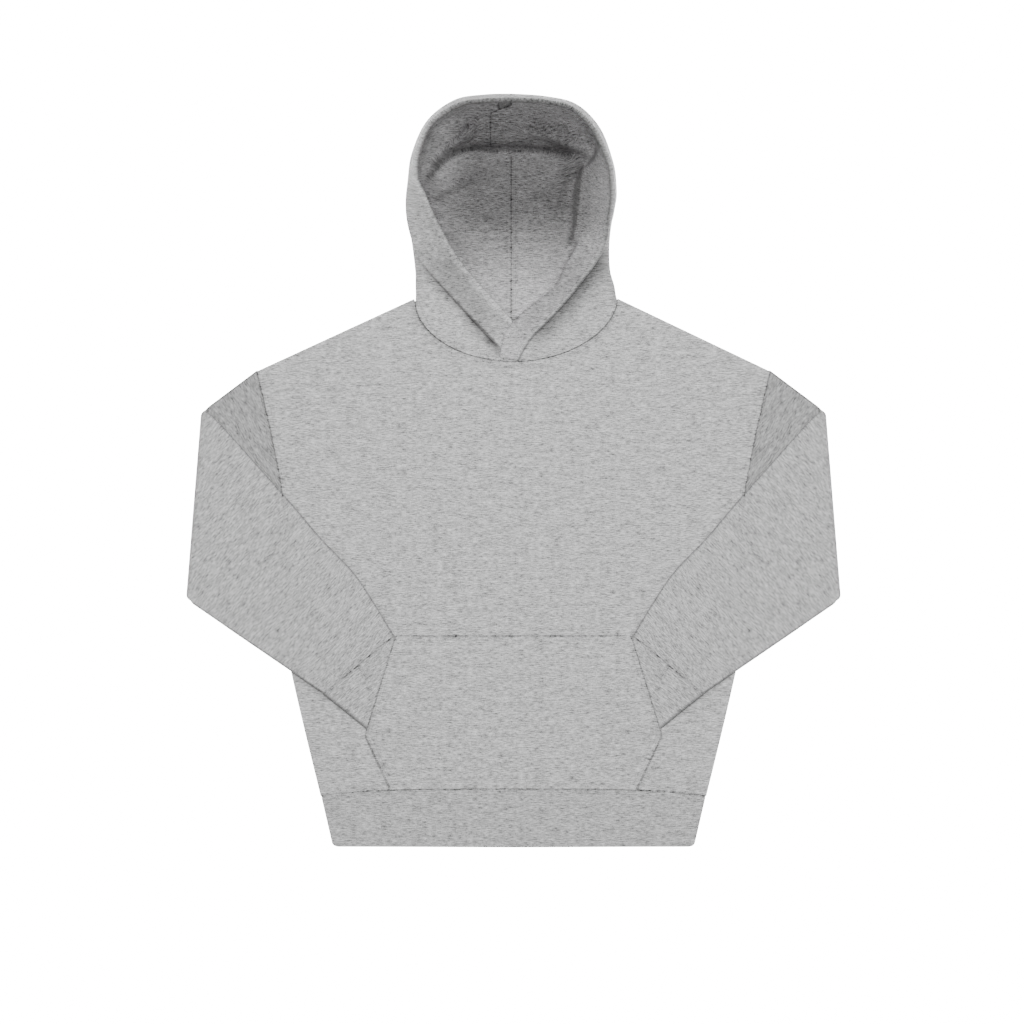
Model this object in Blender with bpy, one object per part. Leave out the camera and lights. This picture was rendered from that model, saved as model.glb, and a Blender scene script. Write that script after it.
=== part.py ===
"""Pullover hoodie laid face up on a flat surface, sleeves folded in and cuffs in the kangaroo pocket.

Each cut-and-sewn piece is one wall of cloth. Sizes are in millimetres and turned to metres when a mesh is
made. X runs across the garment, Y from the hem to the hood, Z up from the surface it lies on. In the tables
Y is measured up from the lower edge of the hem band; make_object centres the garment on the origin.
"""

from collections import namedtuple
from math import cos, pi, sin

import bmesh
import bpy
from mathutils import Vector

MM = 0.001

# Cloth
WALL = 2.0  # one ply of heavy fleece
BAND_WALL = 2.6  # two plies of it pressed together, in cuffs and hem band
GAP = 0.3  # between pieces that touch
PLY = WALL + GAP  # from one ply to the next
FLOOR = WALL / 2  # middle of a ply that lies on the surface

# Body
LENGTH = 964.0  # hem to the top of the hood
SHOULDER_Y = 701.0  # where the shoulder seam meets the neck
NECK_LEFT, NECK_RIGHT = 126.0, 133.0
FRONT_NECK_DROP, BACK_NECK_DROP = 80.0, 26.0
ARMHOLE_TOP = (328.5, 607.5)
ARMHOLE = (ARMHOLE_TOP, (313.0, 541.0), (304.0, 496.0), (295.5, 446.0), (297.0, 405.0), (314.0, 369.5))
HEM_SEAM_SIDE = (246.0, 65.0)
HEM_SEAM_RISE = 9.0  # how far the hem seam bows up in the middle

# Hem band
BAND_TOP_HALF, BAND_FOOT_HALF = 243.5, 228.5
BAND_CORNER = 5.0

# Sleeve, on the wearer's either side; X is the distance from the middle
FOLD_TOP, FOLD_FOOT = (400.0, 558.0), (419.5, 316.0)
FOLDED_TOP = (FOLD_TOP, (377.0, 536.5), (295.0, 445.5), (249.0, 392.5), (210.5, 353.0), (187.5, 322.0))
CUFF_SEAM_TOP, CUFF_SEAM_FOOT = (154.5, 269.0), (241.0, 197.0)
CUFF_END_TOP, CUFF_END_FOOT = (127.0, 206.0), (184.5, 151.5)

# Kangaroo pocket
POCKET_TOP = (149.5, 269.5)
POCKET_MOUTH = ((153.5, 260.0), (176.0, 187.0), (188.0, 149.0))
POCKET_WIDEST, POCKET_FOOT = (189.4, 142.0), (158.0, 75.5)
POCKET_MARGIN = 9.5  # how far past the cuff it stays up
POCKET_RAMP = 15.0  # how far from the cuff the pocket comes down on the front
POCKET_EASE = 1.2  # how much higher than it must be it stands over the cuff
POCKET_TACK = 6.5  # below its top seam, how soon it can rise over the cuff

# Hood. One row for each rib of the outer ply, from the middle of the front neck, round the neck to the back
# and up the centre seam. at: place along its base, 0 front neck to 1 shoulder to 2 back neck to 3 crown.
# side: where it turns up from the surface, or crosses the neck. tuck and lip: the two turns of its fold.
# rim: the edge of the face opening. stood() lifts the last three, more towards the crown.
Rib = namedtuple("Rib", "at side tuck lip rim")
SEAM_INSET = 0.9  # from the neck seam to the hood's own edge
SHOULDER_TURN = 0.2  # share of the neck over which the hood goes round the shoulder
NECK_LIFT, SHOULDER_LIFT = 2.0, 3.4  # plies under the hood's edge at the front neck, and how many more
FRONT_MEETING, FRONT_PARTING = 0.107, 0.009  # angle past the middle where the fronts meet, half their gap
CROWN_Y = 885.0
CROWN_STAND, STAND_FROM, STAND_OVER = 0.6, 0.6, 1.8  # how much higher the crown stands, and where that starts
SEAM_X = -3.0
OUTER_LEFT = (
    Rib(0.00, (-16, 632, 6), (-13, 642, 7), (-8, 652, 8), (2, 664, 9)),
    Rib(0.30, (-36, 634, 8), (-26, 648, 9.5), (-29, 653, 15), (-7, 675, 17)),
    Rib(0.55, (-68, 652, 9), (-51, 675, 12), (-56, 680, 23), (-34, 705, 28)),
    Rib(0.80, (-100, 680, 13), (-80, 707, 17), (-85, 711, 29), (-61, 735.5, 37)),
    Rib(1.00, (-122, 717, 14), (-107, 738, 18), (-112, 741, 30), (-77, 757, 37)),
    Rib(1.30, (-127.5, 740, 7), (-119, 757, 18), (-125, 761, 32), (-93, 785, 42)),
    Rib(1.65, (-130, 782, 1), (-133, 790, 18), (-134.5, 794, 35), (-106, 811, 48)),
    Rib(2.00, (-131, 818, 1), (-137, 820, 20), (-137.5, 822, 37), (-117, 835, 53)),
    Rib(2.15, (-128, 848, 1), (-135, 850, 20), (-135, 851, 38), (-122.5, 856, 54)),
    Rib(2.36, (-120, 882, 1), (-129, 886, 20), (-129.5, 888, 40), (-122.5, 887, 55)),
    Rib(2.58, (-100, 921, 1), (-110, 929, 20), (-110, 929, 40), (-106, 925, 55)),
    Rib(2.78, (-68, 945, 1), (-75, 955, 20), (-75, 955.5, 40), (-72, 951, 55)),
    Rib(2.90, (-34, 952, 1), (-37, 962, 20), (-37, 962, 40), (-36, 957, 54)),
    Rib(3.00, (-3.2, 953, 1), (-3.2, 963, 20), (-3.2, 963, 40), (-3.2, 958, 53)),
)
OUTER_RIGHT = (
    Rib(0.00, (-11, 628, 9), (-13, 633, 11.5), (-15, 635, 20), (4, 631, 18)),
    Rib(0.15, (3, 634, 11), (-7, 652, 15), (-9, 656, 24), (19, 651, 21)),
    Rib(0.40, (34, 642, 12), (8, 671, 16), (4, 675, 26), (36, 669, 22)),
    Rib(0.62, (72, 663, 13), (36, 693, 17), (31, 698, 28), (57, 691, 24)),
    Rib(0.82, (100, 686, 14), (62, 713, 18.5), (56, 719, 30), (77, 714.5, 26)),
    Rib(1.00, (126, 718, 15), (76, 743, 21), (69, 747, 33), (100, 745, 29)),
    Rib(1.30, (125.5, 748, 4), (98, 774, 26), (91, 777, 39), (114, 770, 37)),
    Rib(1.65, (125, 790, 1), (123, 797, 26), (117, 799, 45), (123, 798, 52)),
    Rib(2.00, (125, 822, 1), (130, 823, 24), (130, 823, 42), (127, 823, 54)),
    Rib(2.15, (125, 848, 1), (131, 849, 24), (131, 849, 42), (127, 848, 55)),
    Rib(2.36, (118, 876, 1), (126.5, 878, 22), (126.5, 878, 42), (123, 876, 55)),
    Rib(2.58, (101, 912, 1), (110, 920, 20), (110, 920, 40), (106, 917, 55)),
    Rib(2.78, (72, 940, 1), (80, 950, 20), (80, 950, 40), (77, 946, 55)),
    Rib(2.90, (36, 950, 1), (40, 960, 20), (40, 960, 40), (39, 956, 54)),
    Rib(3.00, (-2.8, 953, 1), (-2.8, 963, 20), (-2.8, 963, 40), (-2.8, 958, 53)),
)
# The inner ply follows the outer one, but on the right side it stands off in a broad fold beside the rim:
# row of OUTER_RIGHT, then its foot, the turn under its edge, and the edge.
Band = namedtuple("Band", "row foot under edge")
INNER_BAND = (
    Band(7, (77, 796, 3.3), (79, 797, 20), (82, 799, 28)),
    Band(8, (77, 822, 3.3), (79, 823, 16), (83, 823, 24)),
    Band(9, (79, 846, 3.3), (81, 847, 14), (86, 847, 22)),
    Band(10, (86, 867, 3.3), (89, 869, 13), (94, 871, 21)),
)
BAND_JOIN = (0.6, 0.12, 0.0)
BAND_EASE = 1.2  # more room between the plies where the band begins
SEAM_TRIM, TRIM_SHARE = 2.5, 0.35  # how much less the inner ply reaches at the neck, and the most of its strip
# Crest across the inside of the crown: its line, and how high the inner ply rises to it.
CREST = ((-119, 838), (-94, 866), (-75, 883), (-45, 892), (0, 889), (40, 888), (72, 881), (92, 873))
CREST_RISE, CREST_RUN, CREST_DROP = 16.0, 90.0, 22.0
# STOPS: where along the rows each rib of the faceted cloth stands, closer together round the shoulder.
TURNS = (22.0, 7.0, 6.0)  # how long each of a rib's three turns is, on either side of its corner
STOPS_LEFT = (
    *(0, 0.7, 1.4, 2.1, 2.8, 3.3, 3.7, 4, 4.3, 4.7, 5.3),
    *(6.1, 7, 7.8, 8.6, 9.2, 9.8, 10.4, 11, 11.6, 12.3, 13),
)
STOPS_RIGHT = (
    *(0, 0.6, 1.2, 1.9, 2.7, 3.6, 4.3, 4.7, 5, 5.3),
    *(5.7, 6.25, 6.65, 7, 8, 8.8, 9.5, 10.1, 10.7, 11.3, 12, 12.6, 13.3, 14),
)
RUN_STEPS, TURN_STEPS = 4, 3  # points on a rib's run along the surface, and on each turn


def lerp(a, b, t):
    """The point a share t of the way from a to b."""
    return tuple(p + (q - p) * t for p, q in zip(a, b))


def smooth_step(x):
    """0 to 1 with level ends."""
    x = min(max(x, 0.0), 1.0)
    return x * x * (3 - 2 * x)


def curve_through(points, t):
    """The point at t, 0 to 1, on a Catmull-Rom curve through the points."""
    last = len(points) - 1
    at = min(max(t, 0.0), 1.0) * last
    i = min(int(at), last - 1)
    u = at - i
    p0, p1, p2, p3 = (points[min(max(k, 0), last)] for k in (i - 1, i, i + 1, i + 2))
    return tuple(
        0.5 * (2 * b + (c - a) * u + (2 * a - 5 * b + 4 * c - d) * u * u + (3 * b - a - 3 * c + d) * u**3)
        for a, b, c, d in zip(p0, p1, p2, p3)
    )


def neck(angle, drop):
    """A point of the neck seam: angle 0 at the right shoulder, pi at the left one."""
    half = NECK_RIGHT if angle < pi / 2 else NECK_LEFT
    straight = 1.12 if angle < pi / 2 else 1.0  # the right side runs a little straighter
    return half * cos(angle), SHOULDER_Y - drop * sin(angle) ** straight


def hem_seam(x):
    """Height of the hem seam at x."""
    return HEM_SEAM_SIDE[1] + HEM_SEAM_RISE * (1 - (x / HEM_SEAM_SIDE[0]) ** 4)


# ---- making solids ----


def make_object(name, bm, colour, roughness):
    """Link a bmesh as a named object with its own material."""
    bmesh.ops.recalc_face_normals(bm, faces=bm.faces)
    if bm.calc_volume(signed=True) < 0:
        bmesh.ops.reverse_faces(bm, faces=bm.faces)
    bmesh.ops.translate(bm, verts=bm.verts, vec=(0, -LENGTH / 2, 0))
    bmesh.ops.scale(bm, verts=bm.verts, vec=(MM, MM, MM))
    mesh = bpy.data.meshes.new(name)
    bm.to_mesh(mesh)
    bm.free()
    material = bpy.data.materials.new(name)
    material.use_nodes = True
    shader = material.node_tree.nodes["Principled BSDF"]
    shader.inputs["Base Color"].default_value = (*colour, 1)
    shader.inputs["Roughness"].default_value = roughness
    shader.inputs["Metallic"].default_value = 0.0
    mesh.materials.append(material)
    obj = bpy.data.objects.new(name, mesh)
    bpy.context.scene.collection.objects.link(obj)
    return obj


def plate(outline, low, high):
    """A flat ply: its outline, extruded from one height to another."""
    bm = bmesh.new()
    face = bm.faces.new([bm.verts.new((x, y, low)) for x, y in outline])
    raised = bmesh.ops.extrude_face_region(bm, geom=[face])["geom"]
    lifted = [v for v in raised if isinstance(v, bmesh.types.BMVert)]
    bmesh.ops.translate(bm, verts=lifted, vec=(0, 0, high - low))
    return bm


def quads(bm, rows, closed=False):
    """Faces between rows of vertices; closed joins each row's ends."""
    for a, b in zip(rows, rows[1:]):
        count = len(a) if closed else len(a) - 1
        for i in range(count):
            j = (i + 1) % len(a)
            bm.faces.new((a[i], a[j], b[j], b[i]))


def beside_seam(p, side):
    """A point kept on its own side of the hood's centre seam and off the surface below."""
    x = p.x
    if side and p.y > SHOULDER_Y - BACK_NECK_DROP:
        seam = SEAM_X + side * GAP / 2
        x = max(x, seam) if side > 0 else min(x, seam)
    return x, p.y, max(p.z, 0.0)


def ply(grid, side=0):
    """A wall of cloth about a grid of middle points, with its edges closed."""
    normals = grid_normals(grid)
    bm = bmesh.new()
    faces = []
    for way in (0.5, -0.5):
        face = []
        for row, across in zip(grid, normals):
            points = [Vector(p) + n * WALL * way for p, n in zip(row, across)]
            face.append([bm.verts.new(beside_seam(p, side)) for p in points])
        faces.append(face)
    top, bottom = faces
    quads(bm, top)
    quads(bm, bottom)

    def edge(face):
        """The vertices round the grid's edge."""
        back = [row[0] for row in reversed(face[1:-1])]
        return face[0] + [row[-1] for row in face[1:-1]] + list(reversed(face[-1])) + back

    quads(bm, [edge(top), edge(bottom)], closed=True)
    return bm


def tube(outer, inner):
    """A tube of cloth, open at both ends, from its outer and inner rings."""
    bm = bmesh.new()
    rings = [[[bm.verts.new(p) for p in ring] for ring in side] for side in (outer, inner)]
    for side in rings:
        quads(bm, side, closed=True)
    for end in (0, -1):
        quads(bm, [rings[0][end], rings[1][end]], closed=True)
    return bm


def flat_ring(half, across):
    """A flattened tube's section as (share across, reach past the edge, height over the middle)."""
    shares = [i / across for i in range(across + 1)]
    ring = [(s, 0.0, -half) for s in shares]
    ring.append((1.0, half * 0.9, 0.0))
    ring += [(s, 0.0, half) for s in reversed(shares)]
    ring.append((0.0, -half * 0.9, 0.0))
    return ring


# ---- body ----


def armhole(side, t, inset=0.0):
    """A point of the armhole seam, top to armpit; inset moves it towards the middle."""
    x, y = curve_through(ARMHOLE, t)
    return side * (x - inset), y


def panel_outline(neck_drop, steps=7, neck_steps=18, hem_steps=14):
    """Front or back panel, anticlockwise from the left end of the hem seam."""
    outline = []
    for i in range(hem_steps + 1):
        x = HEM_SEAM_SIDE[0] * (2 * i / hem_steps - 1)
        outline.append((x, hem_seam(x) + GAP))
    outline += [armhole(1, 1 - i / steps, GAP) for i in range(steps + 1)]
    top = []
    for i in range(neck_steps + 1):
        x, y = neck(pi * i / neck_steps, neck_drop)
        top.append((x, y - GAP))
    outline += top
    outline += [armhole(-1, i / steps, GAP) for i in range(steps + 1)]
    return outline


def hem_band():
    """The hem band, one flattened ring of doubled cloth."""
    across = 14
    middle = BAND_WALL + GAP / 2

    def ring(half_height, share):
        """Section at a share of the way from the foot to the hem seam."""
        points = []
        for s, reach, height in flat_ring(half_height, across):
            half = BAND_FOOT_HALF + (BAND_TOP_HALF - BAND_FOOT_HALF) * share
            if share == 0.0:
                half -= BAND_CORNER * 0.6
            x = half * (2 * s - 1)
            top = hem_seam(x / half * HEM_SEAM_SIDE[0]) - GAP
            points.append((x + reach, top * share, middle + height))
        return points

    shares = (0.0, 0.07, 0.5, 1.0)
    outer = [ring(middle, s) for s in shares]
    inner = [ring(GAP / 2, s) for s in shares]
    return tube(outer, inner)


# ---- sleeves and cuffs ----


def sleeve_point(side, share, along, reach, height):
    """A point of the sleeve. share: top edge to underarm. along: 0 armhole, 1 to 2 the fold, 3 cuff."""
    crease = lerp(FOLD_TOP, FOLD_FOOT, share)
    run = Vector(FOLD_FOOT) - Vector(FOLD_TOP)
    outward = Vector((-run.y, run.x)).normalized()
    down = run.normalized()
    inset = 2 * PLY  # the fold's outer face comes out on the crease
    start = Vector(crease) - outward * inset
    if along <= 1:
        seam = curve_through(ARMHOLE, share)
        spot = Vector(lerp(seam, start, along))
        z = PLY - GAP / 2 + height
    elif along <= 2:
        turn = pi * (along - 1)
        radius = PLY - height
        spot = start + outward * radius * sin(turn)
        z = 2 * PLY - GAP / 2 - radius * cos(turn)
    else:
        t = along - 2
        top = curve_through(FOLDED_TOP + (CUFF_SEAM_TOP,), t)
        foot = lerp(FOLD_FOOT, CUFF_SEAM_FOOT, t)
        spot = Vector(lerp(top, foot, share)) - outward * inset * (1 - t)
        z = 3 * PLY - GAP / 2 - height
        down = (Vector(foot) - Vector(top)).normalized()
    spot += down * reach
    return side * spot.x, spot.y, z


def sleeve(side):
    """A sleeve: one flattened tube, folded over the front along its outer crease."""
    stations = [0.0, 0.5, 1.0, 1.25, 1.5, 1.75, 2.0, 2.2, 2.4, 2.6, 2.8, 3.0]
    across = 7

    def rings(half):
        """The tube's rings at a half height."""
        return [[sleeve_point(side, s, a, r, h) for s, r, h in flat_ring(half, across)] for a in stations]

    return tube(rings(WALL + GAP / 2), rings(GAP / 2))


def cuff_corners(gap):
    """The cuff's outline: seam top, seam foot, end foot, end top."""
    drift = (Vector(CUFF_END_FOOT) - Vector(CUFF_SEAM_FOOT)).normalized() * gap
    return (
        Vector(CUFF_SEAM_TOP) + drift,
        Vector(CUFF_SEAM_FOOT) + drift,
        Vector(CUFF_END_FOOT),
        Vector(CUFF_END_TOP),
    )


def cuff(side):
    """A cuff: a flattened tube of doubled cloth, its end in the pocket."""
    seam_top, seam_foot, end_foot, end_top = cuff_corners(GAP)
    low = 2 * PLY  # rests where the folded sleeve does

    def rings(half):
        """Rings from the cuff seam to the opening."""
        out = []
        for along in (0.0, 0.3, 0.6, 0.85, 1.0):
            top, foot = seam_top.lerp(end_top, along), seam_foot.lerp(end_foot, along)
            down = (foot - top).normalized()
            ring = []
            for s, reach, height in flat_ring(half, 6):
                spot = top.lerp(foot, s) + down * reach
                ring.append((side * spot.x, spot.y, low + BAND_WALL + GAP / 2 + height))
            out.append(ring)
        return out

    return tube(rings(BAND_WALL + GAP / 2), rings(GAP / 2))


# ---- pocket ----


def distance_to_cuff(x, y):
    """How far a point is from the cuff's outline, 0 inside; x is the distance from the middle."""
    corners = cuff_corners(0.0)
    point = Vector((x, y))
    inside, nearest = True, 1e9
    for a, b in zip(corners, corners[1:] + corners[:1]):
        run = b - a
        t = min(max((point - a).dot(run) / run.length_squared, 0.0), 1.0)
        nearest = min(nearest, (point - a - run * t).length)
        inside = inside and run.x * (point.y - a.y) - run.y * (point.x - a.x) <= 0
    return 0.0 if inside else nearest


def pocket_half(y):
    """Half the pocket's width at a height."""
    line = (POCKET_TOP,) + POCKET_MOUTH + (POCKET_WIDEST, POCKET_FOOT)
    for (x0, y0), (x1, y1) in zip(line, line[1:]):
        if y >= y1:
            break
    return x0 + (x1 - x0) * (y0 - y) / (y0 - y1)


def kangaroo_pocket():
    """The pocket: one ply on the front, raised over the cuffs."""
    drops = (0, 5, 10, 20, 34, 50, 66, 82, 98, 112, 124, 140, 165)
    levels = [POCKET_TOP[1] - d for d in drops] + [POCKET_FOOT[1]]
    columns = 18
    low = 2 * PLY + FLOOR
    lift = 2 * BAND_WALL + GAP + POCKET_EASE
    grid = []
    for y in levels:
        half = pocket_half(y)
        foot = smooth_step((levels[0] - y) / (levels[0] - levels[-1]) * 2 - 1)
        line = []
        for k in range(columns + 1):
            u = 2 * k / columns - 1
            x = half * (u * 1.4 - u * abs(u) * 0.4)  # closer together towards the mouths
            level = y + foot * (hem_seam(x) + 1 - POCKET_FOOT[1])
            raised = 1 - smooth_step((distance_to_cuff(abs(x), level) - POCKET_MARGIN) / POCKET_RAMP)
            raised *= smooth_step((POCKET_TOP[1] - level) / POCKET_TACK)
            line.append((x, level, low + lift * raised))
        grid.append(line)
    return ply(grid)


# ---- hood ----


def base_point(at, side):
    """The hood's lower edge: front neck 0 to 1, back neck to 2, centre seam to 3."""
    turn = pi * smooth_step((at - 1 + SHOULDER_TURN) / (2 * SHOULDER_TURN))  # over the shoulder, to the back
    front = FLOOR + PLY * (NECK_LIFT + SHOULDER_LIFT * smooth_step(at / (1 - SHOULDER_TURN)))
    z = (front + FLOOR + (front - FLOOR) * cos(turn)) / 2
    inset = SEAM_INSET + WALL / 4 * sin(turn)
    if at <= 1:
        middle = pi / 2 + FRONT_MEETING - side * FRONT_PARTING
        angle = middle + (pi - middle) * at if side < 0 else middle * (1 - at)
        x, y = neck(angle, FRONT_NECK_DROP)
        return x - inset * cos(angle), y + inset * sin(angle), z
    seam_x = SEAM_X + side * GAP / 2
    if at <= 2:
        angle = pi * (1.5 - at / 2) if side < 0 else pi * (at - 1) / 2
        x, y = neck(angle, BACK_NECK_DROP)
        x -= inset * cos(angle)
        return (min(x, seam_x) if side < 0 else max(x, seam_x)), y + inset * sin(angle), z
    foot = SHOULDER_Y - BACK_NECK_DROP + SEAM_INSET
    return seam_x, foot + (CROWN_Y - foot) * (at - 2), z


def rib_points(corners):
    """Points along one rib: straight runs with rounded turns at its three inner corners."""
    points = []
    start = corners[0]
    for k, turn in enumerate(TURNS, start=1):
        before, corner, after = corners[k - 1], corners[k], corners[k + 1]
        into = min(turn, (corner - before).length * 0.45)
        out = min(turn, (after - corner).length * 0.45)
        first = corner + (before - corner).normalized() * into
        final = corner + (after - corner).normalized() * out
        steps = RUN_STEPS if k == 1 else 1
        points += [start.lerp(first, i / steps) for i in range(steps)]
        for i in range(TURN_STEPS):
            t = i / TURN_STEPS
            points.append(first * (1 - t) ** 2 + corner * 2 * t * (1 - t) + final * t * t)
        start = final
    return points + [start, start.lerp(corners[-1], 0.5), corners[-1]]


def stood(corner, at):
    """A rib's corner at the height at which it stands."""
    share = 1 + CROWN_STAND * smooth_step((at - STAND_FROM) / STAND_OVER)
    return Vector((corner[0], corner[1], corner[2] * share))


def outer_grid(side):
    """The outer ply's middle points, a row for each rib."""
    ribs, stops = (OUTER_LEFT, STOPS_LEFT) if side < 0 else (OUTER_RIGHT, STOPS_RIGHT)
    grid = []
    for stop in stops:
        t = stop / (len(ribs) - 1)
        at = min(max(curve_through([(r.at,) for r in ribs], t)[0], 0.0), 3.0)
        turns = [stood(curve_through([r[k] for r in ribs], t), at) for k in range(2, 5)]
        foot = Vector(curve_through([r.side for r in ribs], t))
        grid.append(rib_points([Vector(base_point(at, side)), foot, *turns]))
    return grid


def grid_normals(grid):
    """Vertex normals of a grid of points; each row's first point leans as its second does."""
    bm = bmesh.new()
    rows = [[bm.verts.new(p) for p in row] for row in grid]
    quads(bm, rows)
    bm.normal_update()
    normals = [[row[1].normal.copy()] + [v.normal.copy() for v in row[1:]] for row in rows]
    bm.free()
    return normals


def band_rib(stop, base, rim):
    """The inner ply's rib at a stop, where it stands off the outer one, and each point's share of that."""
    rows = [b.row for b in INNER_BAND]
    share = smooth_step((stop - rows[0]) * 2 + 1) * smooth_step(rows[-1] + 1 - stop)
    t = (stop - rows[0]) / (len(rows) - 1)
    foot = Vector(curve_through([b.foot for b in INNER_BAND], t))
    at = lerp((OUTER_RIGHT[rows[0]].at,), (OUTER_RIGHT[rows[-1]].at,), t)[0]
    turns = [stood(curve_through([b[k] for b in INNER_BAND], t), at) for k in (2, 3)]
    points = rib_points([base, foot, *turns, rim])
    ends = [share * back for back in BAND_JOIN]  # it joins the outer ply again at the rim
    return zip(points, [share] * (len(points) - len(ends)) + ends)


def crest_height(x, y):
    """How far the crest lifts the inner ply at a point."""
    line = [curve_through(CREST, i / 40) for i in range(41)]
    near = min(line, key=lambda p: (p[0] - x) ** 2 + (p[1] - y) ** 2)
    gap = ((near[0] - x) ** 2 + (near[1] - y) ** 2) ** 0.5
    width = CREST_DROP if y > near[1] else CREST_RUN
    fade = smooth_step((x - CREST[0][0]) / 40) * smooth_step((CREST[-1][0] - x) / 30)
    return CREST_RISE * fade * smooth_step(1 - gap / width)


def inner_grid(side):
    """The inner ply's middle points: one ply inside the outer, with its own crest and band."""
    outer = outer_grid(side)
    normals = grid_normals(outer)
    grid = []
    for i, (row, across) in enumerate(zip(outer, normals)):
        stop = STOPS_LEFT[i] if side < 0 else STOPS_RIGHT[i]
        ease = BAND_EASE if side > 0 and abs(stop - INNER_BAND[0].row) < 1 else 0.0
        points = [p + n * side * (PLY + ease) for p, n in zip(row, across)]
        if row is outer[-1]:
            points = [Vector((p.x, q.y, q.z)) for p, q in zip(row, points)]
        elif points[0].y < SHOULDER_Y:
            strip = (points[1] - points[0]).length
            points[0] = points[0].lerp(points[1], min(SEAM_TRIM / strip, TRIM_SHARE))
        if side > 0:
            loose = band_rib(stop, points[0], points[-1])
            points = [p.lerp(q, share) for p, (q, share) in zip(points, loose)]
        for p in points:
            low = 1 - smooth_step((p.z - 8) / 12)
            p.z = max(p.z, FLOOR + PLY) + crest_height(p.x, p.y) * low
        grid.append(points)
    return grid


# ---- the garment ----

HEATHER = (0.45, 0.45, 0.45)  # mid grey fleece
SHADED = (0.40, 0.40, 0.40)  # the hood's inner ply, cuffs and hem band, a little darker
FLEECE_ROUGHNESS = 0.92


def main():
    """Clear the scene and build every piece."""
    for obj in list(bpy.data.objects):
        bpy.data.objects.remove(obj)
    make_object("back_panel", plate(panel_outline(BACK_NECK_DROP), 0, WALL), HEATHER, FLEECE_ROUGHNESS)
    front = plate(panel_outline(FRONT_NECK_DROP), PLY, PLY + WALL)
    make_object("front_panel", front, HEATHER, FLEECE_ROUGHNESS)
    make_object("hem_band", hem_band(), SHADED, FLEECE_ROUGHNESS)
    make_object("kangaroo_pocket", kangaroo_pocket(), HEATHER, FLEECE_ROUGHNESS)
    for side, word in ((-1, "left"), (1, "right")):
        make_object(f"sleeve_{word}", sleeve(side), HEATHER, FLEECE_ROUGHNESS)
        make_object(f"cuff_{word}", cuff(side), SHADED, FLEECE_ROUGHNESS)
        make_object(f"hood_outer_{word}", ply(outer_grid(side), side), HEATHER, FLEECE_ROUGHNESS)
        make_object(f"hood_inner_{word}", ply(inner_grid(side), side), SHADED, FLEECE_ROUGHNESS)


main()
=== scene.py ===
"""The looks of a pullover hoodie laid face up: every cut piece as a soft wall of heather fleece.

Sizes are in millimetres. X runs across the garment, Y up from the lower edge of the hem band, and Z up from
the surface it lies on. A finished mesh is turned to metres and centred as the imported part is. Left and right
are a viewer's, looking down at the garment.
"""

import logging
import math
from dataclasses import dataclass
from enum import Enum
from typing import Any, Sequence

import bpy
import numpy as np
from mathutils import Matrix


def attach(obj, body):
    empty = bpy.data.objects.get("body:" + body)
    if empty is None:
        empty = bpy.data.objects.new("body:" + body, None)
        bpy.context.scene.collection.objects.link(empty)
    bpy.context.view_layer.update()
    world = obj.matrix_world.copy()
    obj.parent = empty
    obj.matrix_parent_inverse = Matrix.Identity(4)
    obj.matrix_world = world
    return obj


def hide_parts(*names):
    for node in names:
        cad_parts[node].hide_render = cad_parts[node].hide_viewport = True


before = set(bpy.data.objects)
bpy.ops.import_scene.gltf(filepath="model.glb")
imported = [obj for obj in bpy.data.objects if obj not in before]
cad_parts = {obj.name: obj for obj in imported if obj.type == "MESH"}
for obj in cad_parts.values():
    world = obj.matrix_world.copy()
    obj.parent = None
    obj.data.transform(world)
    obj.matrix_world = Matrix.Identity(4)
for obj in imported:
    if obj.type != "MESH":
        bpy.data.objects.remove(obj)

Array = np.ndarray
Points = Sequence[tuple[float, ...]]

LOG = logging.getLogger("hoodie")
MM = 0.001
LENGTH = 964.0  # hem to the top of the hood
WALL = 2.0  # one ply of heavy fleece
BAND_WALL = 2.6  # two plies of it pressed together, in cuffs and hem band
GAP = 0.3  # between pieces that touch
PLY = WALL + GAP  # from one ply to the next
FLOOR = WALL / 2  # middle of a ply that lies on the surface
MAPPED = 6  # numbers at each corner of a face: cloth, stitch and painted-shade coordinates, two each
SHADE = 4  # which of them is the painted shade, negative for a painted highlight


class Side(Enum):
    """The two sides of the garment, as a viewer sees them."""

    LEFT = -1
    RIGHT = 1

    @property
    def word(self) -> str:
        """The side's name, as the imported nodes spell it."""
        return self.name.lower()


class Slot(Enum):
    """The record's material slots."""

    FLEECE = "fleece"
    HOOD_INSIDE = "hood_inside"
    BANDS = "cuffs_and_hem"


# ---- curves and heights ----


def smooth_step(x: Array | float) -> Array:
    """0 to 1 with level ends."""
    x = np.clip(x, 0.0, 1.0)
    return x * x * (3 - 2 * x)


def curve_through(points: Points, t: Array | float) -> Array:
    """Points on a Catmull-Rom curve.

    Args:
        points: what the curve goes through, each a row of numbers.
        t: places along the curve, 0 to 1.

    Returns:
        One row of numbers for each t.
    """
    table = np.asarray(points, float)
    last = len(table) - 1
    at = np.clip(np.asarray(t, float), 0.0, 1.0) * last
    i = np.minimum(at.astype(int), last - 1)
    u = (at - i)[..., None]
    p0, p1, p2, p3 = (table[np.clip(i + k, 0, last)] for k in (-1, 0, 1, 2))
    cubic = 3 * p1 - p0 - 3 * p2 + p3
    return 0.5 * (2 * p1 + (p2 - p0) * u + (2 * p0 - 5 * p1 + 4 * p2 - p3) * u**2 + cubic * u**3)


def along_line(line: Array, shares: Array) -> Array:
    """Points at shares of a polyline's length.

    Args:
        line: the polyline's points.
        shares: places along it, 0 to 1.

    Returns:
        One point for each share.
    """
    steps = np.linalg.norm(np.diff(line, axis=0), axis=1)
    at = np.concatenate([[0], np.cumsum(steps)])
    return np.stack([np.interp(shares * at[-1], at, column) for column in line.T], axis=1)


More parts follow.
